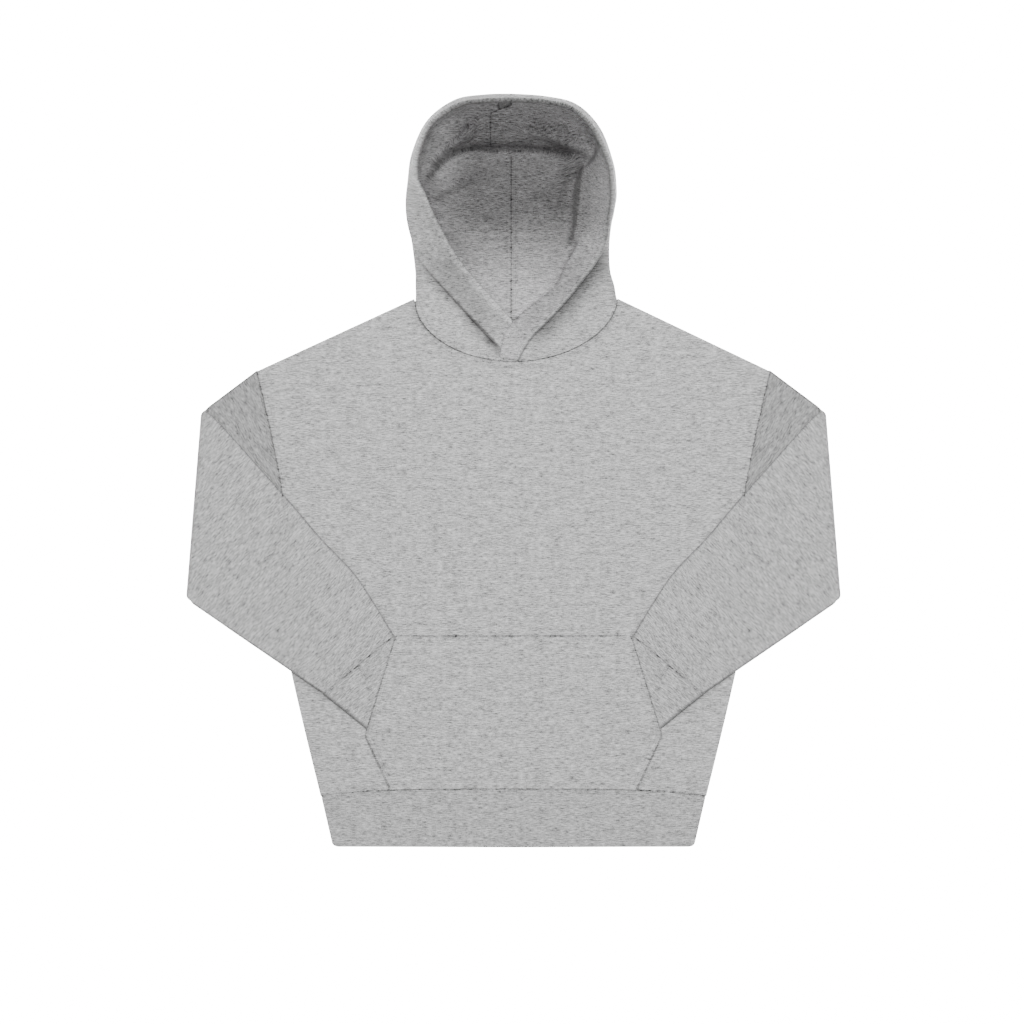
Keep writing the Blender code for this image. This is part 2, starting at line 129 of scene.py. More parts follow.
def shares_of(length: float, count: int, near: Sequence[float] = (0, 0.9, 2, 3.4, 5.2, 7.5, 10.5)) -> Array:
    """Shares of a length, closer together at both ends so that an edge can roll.

    Args:
        length: the length in millimetres.
        count: how many shares, ends included.
        near: how far from an end the first ones stand.

    Returns:
        Rising shares from 0 to 1.
    """
    ends = np.asarray(near) / length
    middle = np.linspace(ends[-1], 1 - ends[-1], count - 2 * len(ends) + 2)
    return np.concatenate([ends[:-1], middle, 1 - ends[:-1][::-1]])


def distance_to_line(x: Array, y: Array, line: Points) -> tuple[Array, Array, Array]:
    """Where points lie beside a polyline in plan.

    Args:
        x: across.
        y: up the garment.
        line: the polyline's points.

    Returns:
        The distance, the share along the line, and the side: positive to the left of its run.
    """
    line = np.asarray(line, float)
    runs = np.diff(line, axis=0)
    lengths = np.linalg.norm(runs, axis=1)
    starts = np.concatenate([[0], np.cumsum(lengths)])
    best = np.full(x.shape, 1e9)
    share, hand = np.zeros(x.shape), np.ones(x.shape)
    for (ax, ay), (rx, ry), length, start in zip(line, runs, lengths, starts):
        t = np.clip(((x - ax) * rx + (y - ay) * ry) / length**2, 0, 1)
        far = np.hypot(x - ax - rx * t, y - ay - ry * t)
        near = far < best
        best = np.where(near, far, best)
        share = np.where(near, (start + t * length) / starts[-1], share)
        hand = np.where(near, np.sign(rx * (y - ay) - ry * (x - ax)), hand)
    return best, share, hand


@dataclass(frozen=True)
class Crease:
    """A soft ridge or trough along a line in plan, or a painted shade or painted highlight there.

    It is full over the line and fades over its reach to the left and right of the line's run.
    """

    line: Points
    height: float
    left: float
    right: float
    taper: float = 0.25  # share of its length over which each end fades

    def lift(self, x: Array, y: Array) -> Array:
        """How far it lifts the cloth, or how much painted shade it gives it, at each point.

        Args:
            x: across.
            y: up the garment.

        Returns:
            The lift at each point.
        """
        far, share, hand = distance_to_line(x, y, self.line)
        reach = np.where(hand > 0, self.left, self.right)
        ends = smooth_step(share / self.taper) * smooth_step((1 - share) / self.taper)
        return self.height * ends * smooth_step(1 - far / reach)


def ripple(x: Array, y: Array, size: float, seed: int, stretch: float = 1.0) -> Array:
    """A gentle uneven waviness between about -1 and 1.

    Args:
        x: across.
        y: up the garment.
        size: the usual distance from crest to crest.
        seed: which pattern.
        stretch: how much longer the waves are across than up.

    Returns:
        The waviness at each point.
    """
    draw = np.random.default_rng(seed)
    total = np.zeros(np.shape(x))
    for _ in range(9):
        turn, phase, scale = draw.uniform(0, math.tau), draw.uniform(0, math.tau), draw.uniform(0.7, 1.6)
        run = (x * math.cos(turn) / stretch + y * math.sin(turn)) / (size * scale)
        total += np.sin(math.tau * run + phase)
    return total / 4.5


# ---- walls of cloth ----


def unit(vectors: Array) -> Array:
    """The vectors at length 1."""
    return vectors / np.maximum(np.linalg.norm(vectors, axis=-1, keepdims=True), 1e-9)


def normals_of(grid: Array) -> Array:
    """Normals of a grid of points, facing the run of its columns crossed with the run of its rows."""
    across, down = np.gradient(grid, axis=1), np.gradient(grid, axis=0)
    return unit(np.cross(across, down))


def smoothed(grid: Array, rounds: int, keep: Array | None = None) -> Array:
    """A grid evened out between its neighbours, its edge held.

    Args:
        grid: rows by columns of points or heights.
        rounds: how often it is evened.
        keep: share of each point that stays as it was.

    Returns:
        The evened grid.
    """
    for _ in range(rounds):
        mean = (grid[:-2, 1:-1] + grid[2:, 1:-1] + grid[1:-1, :-2] + grid[1:-1, 2:]) / 4
        part = 0.5 if keep is None else 0.5 * (1 - keep[1:-1, 1:-1, None])
        grid = grid.copy()
        grid[1:-1, 1:-1] += (mean - grid[1:-1, 1:-1]) * part
    return grid


def make_object(name: str, points: Array, quads: Array, cloth: Array) -> bpy.types.Object:
    """A mesh object from points in millimetres.

    Args:
        name: the piece's name.
        points: its vertices.
        quads: four vertex numbers for each face.
        cloth: cloth coordinates, stitch coordinates, painted shade and a spare column for each face corner.

    Returns:
        The new object, shaded smooth, faces out.
    """
    place = (points - (0, LENGTH / 2, 0)) * MM
    place[:, 2] = np.maximum(place[:, 2], 0.0)
    a, b, c, d = (place[quads[:, k]] for k in range(4))
    volume = np.einsum("ij,ij->i", a, np.cross(b, c)).sum() + np.einsum("ij,ij->i", a, np.cross(c, d)).sum()
    if volume < 0:
        quads, cloth = quads[:, ::-1], cloth.reshape(-1, 4, MAPPED)[:, ::-1].reshape(-1, MAPPED)
    mesh = bpy.data.meshes.new(name)
    mesh.vertices.add(len(place))
    mesh.vertices.foreach_set("co", place.astype(np.float32).ravel())
    mesh.loops.add(quads.size)
    mesh.loops.foreach_set("vertex_index", quads.astype(np.int32).ravel())
    mesh.polygons.add(len(quads))
    mesh.polygons.foreach_set("loop_start", np.arange(0, quads.size, 4, dtype=np.int32))
    mesh.update(calc_edges=True)
    mesh.polygons.foreach_set("use_smooth", np.ones(len(quads), bool))
    for name_of_map, first, scale in (("cloth", 0, MM), ("stitch", 2, MM), ("shade", SHADE, 1.0)):
        layer = mesh.uv_layers.new(name=name_of_map)
        layer.data.foreach_set("uv", (cloth[:, first : first + 2] * scale).astype(np.float32).ravel())
    mesh.validate()
    made = bpy.data.objects.new(f"{name}_cloth", mesh)
    bpy.context.scene.collection.objects.link(made)
    return made


def grid_quads(number: Array) -> Array:
    """Faces between the rows and columns of a grid of vertex numbers."""
    corners = [number[:-1, :-1], number[:-1, 1:], number[1:, 1:], number[1:, :-1]]
    return np.stack(corners, axis=-1).reshape(-1, 4)


def around(grid: Array) -> Array:
    """A grid's edge, once round, starting along its first row."""
    return np.concatenate([grid[0], grid[1:, -1], grid[-1, -2::-1], grid[-2:0:-1, 0]])


def wall(name: str, grid: Array, cloth: Array, thick: float = WALL, edge_steps: int = 3) -> bpy.types.Object:
    """A wall of cloth about a grid of middle points, with rounded edges.

    Args:
        name: the piece's name.
        grid: rows by columns of points.
        cloth: rows by columns of cloth coordinates.
        thick: the wall's thickness.
        edge_steps: rows of points round each edge.

    Returns:
        The closed mesh object.
    """
    rows, columns = grid.shape[:2]
    normal = normals_of(grid)
    across, down = unit(np.gradient(grid, axis=1)), unit(np.gradient(grid, axis=0))
    out = np.zeros_like(grid)
    out[0] -= down[0]
    out[-1] += down[-1]
    out[:, 0] -= across[:, 0]
    out[:, -1] += across[:, -1]
    rim, rim_normal, rim_out = around(grid), around(normal), unit(around(out))
    number = np.arange(rows * columns).reshape(rows, columns)
    ring = around(number)
    loops, vertices = [ring], [grid + normal * thick / 2, grid - normal * thick / 2]
    for k in range(1, edge_steps + 1):
        turn = math.pi * k / (edge_steps + 1)
        vertices.append(rim + (rim_out * math.sin(turn) + rim_normal * math.cos(turn)) * thick / 2)
        loops.append(2 * rows * columns + (k - 1) * len(ring) + np.arange(len(ring)))
    loops.append(ring + rows * columns)
    faces = [grid_quads(number), grid_quads(number + rows * columns)[:, ::-1]]
    for upper, lower in zip(loops, loops[1:]):
        faces.append(np.stack([lower, np.roll(lower, -1), np.roll(upper, -1), upper], axis=1))
    flat = cloth.reshape(-1, MAPPED)
    each = np.concatenate([flat, flat] + [around(cloth)] * edge_steps)
    quads = np.concatenate(faces)
    points = np.concatenate([v.reshape(-1, 3) for v in vertices])
    return make_object(name, points, quads, each[quads].reshape(-1, MAPPED))


def tube(name: str, outer: Array, inner: Array, cloth: Array, end_steps: int = 3) -> bpy.types.Object:
    """A tube of cloth, open at both ends.

    Args:
        name: the piece's name.
        outer: rings by places round, the outside.
        inner: the same, the inside.
        cloth: cloth coordinates, with one more place round than the rings have.
        end_steps: rings round each end's edge.

    Returns:
        The closed mesh object.
    """

    def end(a: Array, b: Array, run: Array) -> list[Array]:
        """Rings round an edge.

        Args:
            a: the ring before the edge.
            b: the ring after it.
            run: which way the edge faces.

        Returns:
            The rings between them.
        """
        middle, half = (a + b) / 2, (a - b) / 2
        size = np.linalg.norm(half, axis=1, keepdims=True)
        turns = [math.pi * k / (end_steps + 1) for k in range(1, end_steps + 1)]
        return [middle + half * math.cos(t) + unit(run) * size * math.sin(t) for t in turns]

    rings = [*outer, *end(outer[-1], inner[-1], outer[-1] - outer[-2])]
    rings += [*inner[::-1], *end(inner[0], outer[0], outer[0] - outer[1])]
    maps = [*cloth, *[cloth[-1]] * end_steps, *cloth[::-1], *[cloth[0]] * end_steps]
    points, mapped = np.stack(rings), np.stack(maps)
    count, places = points.shape[:2]
    i, j = np.meshgrid(np.arange(count), np.arange(places), indexing="ij")
    up, on = (i + 1) % count, (j + 1) % places
    quads = np.stack([i * places + j, i * places + on, up * places + on, up * places + j], axis=-1)
    corners = np.stack([mapped[i, j], mapped[i, j + 1], mapped[up, j + 1], mapped[up, j]], axis=2)
    return make_object(name, points.reshape(-1, 3), quads.reshape(-1, 4), corners.reshape(-1, MAPPED))


def flat_ring(half: float, shares: Array, steps: int = 5) -> Array:
    """A flattened tube's section.

    Args:
        half: half its thickness.
        shares: where its points stand, from edge to edge.
        steps: points round each edge.

    Returns:
        Share across, reach past the edge and height over the middle for each place, once round.
    """
    below = [(s, 0.0, -half) for s in shares]
    above = [(s, 0.0, half) for s in shares[::-1]]
    turns = [math.pi * k / (steps + 1) for k in range(1, steps + 1)]
    far = [(shares[-1], half * math.sin(t), -half * math.cos(t)) for t in turns]
    near = [(shares[0], -half * math.sin(t), half * math.cos(t)) for t in turns]
    return np.array(below + far + above + near)


def edge_shade(section: Array, width: float, most: float = 0.5) -> Array:
    """Painted shade: how much darker a flattened tube is drawn at its two edges.

    Args:
        section: its section, from flat_ring.
        width: how wide it is.
        most: how dark the edges get.

    Returns:
        One row: the shade at each place round it, and at the first one again.
    """
    share = np.concatenate([section, section[:1]])
    inward = np.minimum(share[:, 0], 1 - share[:, 0]) * width - np.abs(share[:, 1])
    return most * smooth_step(1 - (inward + 1.0) / 2.2)[None]


# ---- lines that several pieces share ----

SHOULDER_Y = 701.0  # where the shoulder seam meets the neck
NECK_LEFT, NECK_RIGHT = 126.0, 133.0
FRONT_NECK_DROP, BACK_NECK_DROP = 80.0, 26.0
ARMHOLE = ((328.5, 607.5), (313.0, 541.0), (304.0, 496.0), (295.5, 446.0), (297.0, 405.0), (314.0, 369.5))
HEM_SEAM_SIDE = (246.0, 65.0)
HEM_SEAM_RISE = 9.0  # how far the hem seam bows up in the middle
FAR = 1000.0  # a stitch coordinate that no stitches reach


def neck(angle: Array | float, drop: float) -> Array:
    """Points of the neck seam.

    Args:
        angle: 0 at the right shoulder, pi at the left one.
        drop: how far the seam dips in the middle.

    Returns:
        One point in plan for each angle.
    """
    angle = np.asarray(angle, float)
    right = angle < math.pi / 2
    bow = np.clip(np.sin(angle), 0, 1) ** np.where(right, 1.12, 1.0)
    x = np.where(right, NECK_RIGHT, NECK_LEFT) * np.cos(angle)
    return np.stack([x, SHOULDER_Y - drop * bow], axis=-1)


def hem_seam(x: Array | float) -> Array:
    """Height of the hem seam across the garment."""
    return HEM_SEAM_SIDE[1] + HEM_SEAM_RISE * (1 - (np.asarray(x) / HEM_SEAM_SIDE[0]) ** 4)


def hem_line(rise: float = 0.0) -> list[tuple[float, float]]:
    """The hem seam in plan, moved up by rise."""
    half = HEM_SEAM_SIDE[0]
    return [(x, float(hem_seam(x)) + rise) for x in np.linspace(-half, half, 30)]


def body_side(side: Side, inset: float = GAP) -> Array:
    """The body's side seam and armhole.

    Args:
        side: which side.
        inset: how far inside the seam the line runs.

    Returns:
        Points in plan, from the hem seam up.
    """
    x, y = curve_through(ARMHOLE, np.linspace(1, 0, 60)).T
    seam_y = np.linspace(HEM_SEAM_SIDE[1] + inset, y[0], 60)[:-1]
    t = (seam_y - HEM_SEAM_SIDE[1]) / (y[0] - HEM_SEAM_SIDE[1])
    seam_x = HEM_SEAM_SIDE[0] + (x[0] - HEM_SEAM_SIDE[0]) * t + 2.4 * np.sin(math.pi * t)
    across = side.value * (np.concatenate([seam_x, x]) - inset)
    return np.stack([across, np.concatenate([seam_y, y])], axis=1)


def neck_edge(drop: float, inset: float = GAP) -> Array:
    """A panel's neck edge in plan, from the left shoulder to the right one, an inset below the seam."""
    return neck(np.linspace(math.pi, 0, 90), drop) - (0, inset)


@dataclass(frozen=True)
class Swell:
    """How the plies above the back panel stand off it: nothing at the seams, soft waves between them."""

    rise: float = 1.1
    wave: float = 0.9
    reach: float = 46.0  # from a seam, where it is full
    size: float = 105.0
    creases: tuple[Crease, ...] = (
        Crease(((-262, 352), (-214, 396), (-172, 452)), 1.5, 30, 44, 0.5),
        Crease(((258, 346), (205, 400), (150, 436)), 1.3, 40, 28, 0.5),
        Crease(((-92, 470), (-40, 520), (-26, 598)), 1.0, 34, 26, 0.5),
        Crease(((66, 432), (96, 505), (100, 590)), 1.1, 26, 38, 0.5),
        Crease(((-120, 640), (-168, 604), (-196, 556)), 1.2, 24, 40, 0.4),
        Crease(((142, 646), (184, 598), (232, 566)), 1.1, 36, 24, 0.4),
        Crease(((-64, 318), (0, 330), (72, 312)), 0.8, 30, 22, 0.5),
    )

    def outline(self) -> Array:
        """The body's edge in plan: hem seam, side, shoulder, neck and back down."""
        left, right = body_side(Side.LEFT), body_side(Side.RIGHT)
        return np.concatenate([right, neck_edge(FRONT_NECK_DROP)[::-1][::6], left[::-1][::3], right[:1]])

    def height(self, x: Array, y: Array) -> Array:
        """How far the upper plies are lifted at each point.

        Args:
            x: across.
            y: up the garment.

        Returns:
            The lift at each point, 0 outside the body.
        """
        line = self.outline()[::2]
        line = np.concatenate([line, line[:1]])
        near, _, _ = distance_to_line(x, y, line)
        inside = np.zeros(x.shape, bool)
        for (ax, ay), (bx, by) in zip(line, line[1:]):
            if ay != by:
                inside ^= ((ay > y) != (by > y)) & (x < ax + (bx - ax) * (y - ay) / (by - ay))
        full = self.rise + self.wave * (0.5 + 0.5 * ripple(x, y, self.size, 11))
        full += sum(crease.lift(x, y) for crease in self.creases)
        return np.where(inside, smooth_step(near / self.reach) * full, 0.0)

    def lift(self, points: Array) -> Array:
        """The points with everything above the back panel raised."""
        raised = points.copy()
        x, y, z = points[..., 0], points[..., 1], points[..., 2]
        raised[..., 2] += self.height(x, y) * smooth_step((z - 1.9) / 0.5)
        return raised

    def laid(self, rings: Array, side: Side) -> Array:
        """Rings of a right-hand piece, raised and moved to their side."""
        raised = self.lift(rings)
        raised[..., 0] *= side.value
        return raised


SWELL = Swell()


def plan_map(points: Array, axis: tuple[float, float] = (0.0, 1.0)) -> Array:
    """Cloth coordinates from plan: across and along an axis.

    Args:
        points: grid or ring points.
        axis: which way the cloth's length runs.

    Returns:
        Two coordinates for each point.
    """
    along = unit(np.asarray(axis, float))
    across = np.array([along[1], -along[0]])
    return np.stack([points[..., :2] @ across, points[..., :2] @ along], axis=-1)


def shade_of(creases: Sequence[Crease], x: Array, y: Array) -> Array:
    """What several creases come to at each point, 0 where there are none."""
    return sum(crease.lift(x, y) for crease in creases) + 0.0


def stitched(cloth: Array, points: Array, lines: Sequence[Points], shade: Array | float = 0.0) -> Array:
    """The cloth coordinates, with stitch coordinates and the painted shade.

    Stitch coordinates run along the nearest sewn edge, and in from it.

    Args:
        cloth: cloth coordinates of the points.
        points: grid or ring points.
        lines: the sewn edges, in plan.
        shade: painted shade, how much darker the cloth is drawn where another ply's edge lies on or over it.

    Returns:
        MAPPED numbers for each point, the last one spare.
    """
    x, y = points[..., 0], points[..., 1]
    best, along = np.full(x.shape, FAR), np.zeros(x.shape)
    for line in lines:
        line = np.asarray(line, float)
        length = np.linalg.norm(np.diff(line, axis=0), axis=1).sum()
        far, share, _ = distance_to_line(x, y, line)
        along = np.where(far < best, share * length, along)
        best = np.minimum(far, best)
    shade = np.broadcast_to(shade, x.shape)
    return np.concatenate([cloth, np.stack([along, best, shade, np.zeros(x.shape)], axis=-1)], axis=-1)


@dataclass(frozen=True)
class Cut:
    """A piece's flat cut in millimetres, how it is held, and its true area where it isn't a rectangle."""

    flat: tuple[float, float]
    held: str
    rests_on: tuple[str, ...] = ()
    area: float | None = None  # square millimetres


# ---- the pieces ----


@dataclass(frozen=True)
class Panel:
    """The front or back panel: hem seam to shoulders, with its armholes and neck scooped out."""

    name: str
    base: float  # height of its middle
    neck_drop: float
    cut: Cut
    across: int = 160
    up: int = 170
    ridge: float = 2.2  # the seam allowance's soft ridge beside the neck seam
    painted_shade: tuple[Crease, ...] = ()  # painted shadows where other plies' edges lie on it, X from the middle
    settles: bool = True  # rides on the swell
    length: float = 560.0  # a usual length of its edges, for the points' spacing

    def boundary(self, side: Side) -> Array:
        """Its side, from the hem seam to the shoulder's outer end."""
        return along_line(body_side(side), shares_of(self.length, self.up))

    def grid(self) -> Array:
        """Middle points: rows from the hem up, columns from left to right."""
        across = shares_of(self.length, self.across)[None, :, None]
        up = shares_of(self.length, self.up)[:, None, None]
        left, right = self.boundary(Side.LEFT)[:, None], self.boundary(Side.RIGHT)[:, None]
        x = HEM_SEAM_SIDE[0] * (2 * across[0, :, 0] - 1)
        hem = np.stack([x, hem_seam(x) + GAP], axis=-1)[None]
        line = np.concatenate([left[-1], neck_edge(self.neck_drop), right[-1]])
        top = along_line(line, across[0, :, 0])[None]
        from_left = (1 - across) * ((1 - up) * left[:1] + up * left[-1:])
        corners = from_left + across * ((1 - up) * right[:1] + up * right[-1:])
        plan = (1 - across) * left + across * right + (1 - up) * hem + up * top - corners
        return np.concatenate([plan, np.full((*plan.shape[:2], 1), self.base)], axis=-1)

    def build(self) -> bpy.types.Object:
        """The panel as a wall of cloth."""
        grid = self.grid()
        x, y = grid[..., 0], grid[..., 1]
        edge = neck_edge(self.neck_drop)
        if self.settles:
            near, share, _ = distance_to_line(x, y, edge)
            ends = smooth_step(share / 0.1) * smooth_step((1 - share) / 0.1)
            strong = (1 - 0.4 * smooth_step((share - 0.3) / 0.4)) * ends
            grid[..., 2] += self.ridge * strong * smooth_step(1 - np.abs(near - 4.5) / 6.5)
            grid = SWELL.lift(grid)
        seams = [hem_line(), edge, body_side(Side.LEFT)[60:], body_side(Side.RIGHT)[60:]]
        # painted shadow beside other plies' edges
        shade = shade_of(self.painted_shade, np.abs(x), y)
        return wall(self.name, grid, stitched(plan_map(grid), grid, seams, shade))


@dataclass(frozen=True)
class HemBand:
    """The hem band: one flattened ring of doubled cloth."""

    cut: Cut
    name: str = "hem_band"
    top_half: float = 243.5
    foot_half: float = 228.5
    depth: float = 68.0  # for the points' spacing
    corner: float = 5.0
    across: int = 150
    up: int = 34

    def ring(self, half: float, share: float) -> Array:
        """Its section at one height.

        Args:
            half: half its thickness.
            share: how far up it stands, from the foot to the hem seam.

        Returns:
            Points once round.
        """
        section = flat_ring(half, np.linspace(0, 1, self.across))
        width = self.foot_half + (self.top_half - self.foot_half) * share
        rise = share * HEM_SEAM_SIDE[1]
        if rise < self.corner:
            width -= self.corner - math.sqrt(self.corner**2 - (self.corner - rise) ** 2)
        x = width * (2 * section[:, 0] - 1)
        top = hem_seam(x / width * HEM_SEAM_SIDE[0]) - GAP
        middle = BAND_WALL + GAP / 2
        return np.stack([x + section[:, 1], top * share, middle + section[:, 2]], axis=1)

    def build(self) -> bpy.types.Object:
        """The band as a tube, its seam edges drawn down to the seam."""
        shares = shares_of(self.depth, self.up, (0, 0.9, 2, 3.4, 5.2, 7.5))
        half = BAND_WALL + GAP / 2

        def rings(base: float) -> Array:
            """Rings from the foot up."""
            made = []
            for share in shares:
                near = min(share, 1 - share) * self.depth
                pinch = 0.35 * (1 - smooth_step(near / 5)) if base > 1 else 0.0
                ring = self.ring(base - pinch, share)
                wave = 0.8 + 0.5 * ripple(ring[:, 0], ring[:, 1], 60, 8)
                puff = 0.55 * smooth_step(near / 16) * wave
                ring[:, 2] += puff * smooth_step((ring[:, 2] - 2.6) / 0.5)
                made.append(ring)
            return np.stack(made)

        outer, inner = rings(half), rings(GAP / 2)
        loop = np.concatenate([outer, outer[:, :1]], axis=1)
        return tube(self.name, outer, inner, stitched(plan_map(loop), loop, [hem_line(-GAP)]))


@dataclass(frozen=True)
class Sleeve:
    """A sleeve: one flattened tube, folded over the front along its outer crease. X is from the middle."""

    side: Side
    cut: Cut
    creases: tuple[Crease, ...] = ()
    seed: int = 3
    fold: tuple[tuple[float, float], tuple[float, float]] = ((400.0, 558.0), (419.5, 316.0))
    upper: Points = (
        (400.0, 558.0), (377.0, 536.5), (295.0, 445.5), (249.0, 392.5), (210.5, 353.0), (187.5, 322.0)
    )
    cuff_top: tuple[float, float] = (154.5, 269.0)
    cuff_foot: tuple[float, float] = (241.0, 197.0)
    corner: float = 7.0  # radius of the fold's two ends
    width: float = 243.0  # at the fold
    under_fold_painted_shade: float = 0.25  # painted shade on the ply beneath the folded one
    across: int = 58

    @property
    def name(self) -> str:
        """The piece's name."""
        return f"sleeve_{self.side.word}"

    def shares(self) -> Array:
        """Where the points of a ring stand, top edge to underarm."""
        return shares_of(self.width, self.across, (0, 0.6, 1.4, 2.5, 4, 6, 8.5))

    def stations(self) -> Array:
        """Where its rings stand: armhole 0, the fold 1 to 2, cuff 3."""
        first, turn = shares_of(90, 34), np.linspace(1, 2, 9)[1:]
        return np.concatenate([first, turn, 2 + shares_of(300, 84)[1:]])

    def ring(self, half: float, along: float) -> Array:
        """The right sleeve's section at a station.

        Args:
            half: half its thickness.
            along: the station.

        Returns:
            Points once round.
        """
        share, reach, height = flat_ring(half, self.shares()).T
        share, reach, height = share[:, None], reach[:, None], height
        top, foot = (np.array(p) for p in self.fold)
        run = foot - top
        down, outward = unit(run), unit(np.array([-run[1], run[0]]))
        near = np.minimum(share, 1 - share) * np.linalg.norm(run)
        cut = self.corner - np.sqrt(np.maximum(self.corner**2 - np.maximum(self.corner - near, 0) ** 2, 0))
        inset = 2 * PLY
        start = top + run * share - outward * inset
        upper = share < 0.5
        armhole, cuff_foot = np.array(ARMHOLE), np.array(self.cuff_foot)
        before = np.where(upper, unit(armhole[0] - top), unit(armhole[-1] - foot))
        after = np.where(upper, unit(np.array(self.upper[1]) - top), unit(cuff_foot - foot))
        if along <= 1:
            spot = curve_through(ARMHOLE, share[:, 0]) * (1 - along) + (start + before * cut) * along
            z = PLY - GAP / 2 + height
        elif along <= 2:
            turn = math.pi * (along - 1)
            radius = (PLY - height)[:, None]
            drawn = cut * (before * (2 - along) + after * (along - 1))
            spot = start + outward * radius * math.sin(turn) + drawn
            z = 2 * PLY - GAP / 2 - radius[:, 0] * math.cos(turn)
        else:
            t = along - 2
            high = curve_through((*self.upper, self.cuff_top), t)
            low = foot + (cuff_foot - foot) * t
            spot = high + (low - high) * share - outward * inset * (1 - t) + after * cut * max(1 - t * 4, 0)
            z = 3 * PLY - GAP / 2 - height
            down = unit(low - high)
        return np.concatenate([spot + down * reach, z[:, None]], axis=1)

    def cloth_of(self, rings: Array) -> Array:
        """Cloth coordinates: along the folded part's axis, and mirrored in the crease before it."""
        top, foot = (np.array(p) for p in self.fold)
        outward = unit(np.array([top[1] - foot[1], foot[0] - top[0]]))
        spots = rings[..., :2].copy()
        before = self.stations() < 1.5
        past = (spots[before] - top) @ outward
        spots[before] -= 2 * past[..., None] * outward
        axis = (np.array(self.cuff_top) + self.cuff_foot) / 2 - (top + foot) / 2
        return plan_map(spots, tuple(axis))

    def build(self) -> bpy.types.Object:
        """The sleeve, its visible ply lifted in soft folds."""
        stations = self.stations()
        outer = np.stack([self.ring(WALL + GAP / 2, a) for a in stations])
        inner = np.stack([self.ring(GAP / 2, a) for a in stations])
        loop = np.concatenate([outer, outer[:, :1]], axis=1)
        seams = [curve_through(ARMHOLE, np.linspace(0, 1, 30)), [self.cuff_top, self.cuff_foot]]
        # painted shade: darker along the sleeve's two edges and on the ply beneath the fold
        shade = edge_shade(flat_ring(WALL + GAP / 2, self.shares()), self.width)
        shade = shade + self.under_fold_painted_shade * (stations[:, None] < 1.5)
        cloth = stitched(self.cloth_of(loop), loop, seams, shade)
        edge = flat_ring(1.0, self.shares())[:, 0]
        soft = smooth_step(np.minimum(edge, 1 - edge) / 0.16)
        spread = smooth_step((stations - 0.05) / 0.25) * smooth_step((3 - stations) / 0.10)
        folded, flat = (stations >= 1.9)[:, None], (stations < 0.9)[:, None]
        for rings in (outer, inner):
            x, y, z = rings[..., 0], rings[..., 1], rings[..., 2]
            puff = 0.9 + 0.8 * ripple(x, y, 70, self.seed) + sum(c.lift(x, y) for c in self.creases)
            top = smooth_step((z - 6.6) / 0.5) * folded + smooth_step((z - 2.0) / 0.5) * flat * 0.6
            rings[..., 2] += np.maximum(puff, 0) * spread[:, None] * soft[None] * top
        return tube(self.name, SWELL.laid(outer, self.side), SWELL.laid(inner, self.side), cloth)


@dataclass(frozen=True)
class Cuff:
    """A cuff: a flattened tube of doubled cloth, its end in the pocket."""

    side: Side
    cut: Cut
    seam: tuple[tuple[float, float], tuple[float, float]] = ((154.5, 269.0), (241.0, 197.0))
    end: tuple[tuple[float, float], tuple[float, float]] = ((127.0, 206.0), (184.5, 151.5))
    width: float = 100.0
    length: float = 66.0
    across: int = 44

    @property
    def name(self) -> str:
        """The piece's name."""
        return f"cuff_{self.side.word}"

    def corners(self, gap: float = 0.0) -> Array:
        """Its outline in plan: seam top, seam foot, end foot, end top; X from the middle."""
        (top, foot), (end_top, end_foot) = np.array(self.seam), np.array(self.end)
        drift = unit(end_foot - foot) * gap
        return np.array([top + drift, foot + drift, end_foot, end_top])

    def rings(self, half: float) -> Array:
        """Rings from its seam to its opening."""
        seam_top, seam_foot, end_foot, end_top = self.corners(GAP)
        section = flat_ring(half, np.linspace(0, 1, self.across))
        made = []
        for t in shares_of(self.length, 32, (0, 0.9, 2, 3.4, 5.2, 7.5)):
            top, foot = seam_top + (end_top - seam_top) * t, seam_foot + (end_foot - seam_foot) * t
            spot = top + (foot - top) * section[:, :1] + unit(foot - top) * section[:, 1:2]
            pinch = 0.35 * (1 - smooth_step(t * self.length / 5)) * np.sign(section[:, 2]) * (half > 1)
            z = 2 * PLY + BAND_WALL + GAP / 2 + section[:, 2] - np.maximum(pinch, 0)
            made.append(np.concatenate([spot, z[:, None]], axis=1))
        return np.stack(made)

    def build(self) -> bpy.types.Object:
        """The cuff as a tube."""
        outer, inner = self.rings(BAND_WALL + GAP / 2), self.rings(GAP / 2)
        loop = np.concatenate([outer, outer[:, :1]], axis=1)
        corners = self.corners()
        axis = (corners[2] + corners[3] - corners[0] - corners[1]) / 2
        # painted shade along the cuff's two edges
        shade = edge_shade(flat_ring(BAND_WALL + GAP / 2, np.linspace(0, 1, self.across)), self.width)
        cloth = stitched(plan_map(loop, tuple(axis)), loop, [corners[:2]], shade)
        return tube(self.name, SWELL.laid(outer, self.side), SWELL.laid(inner, self.side), cloth)


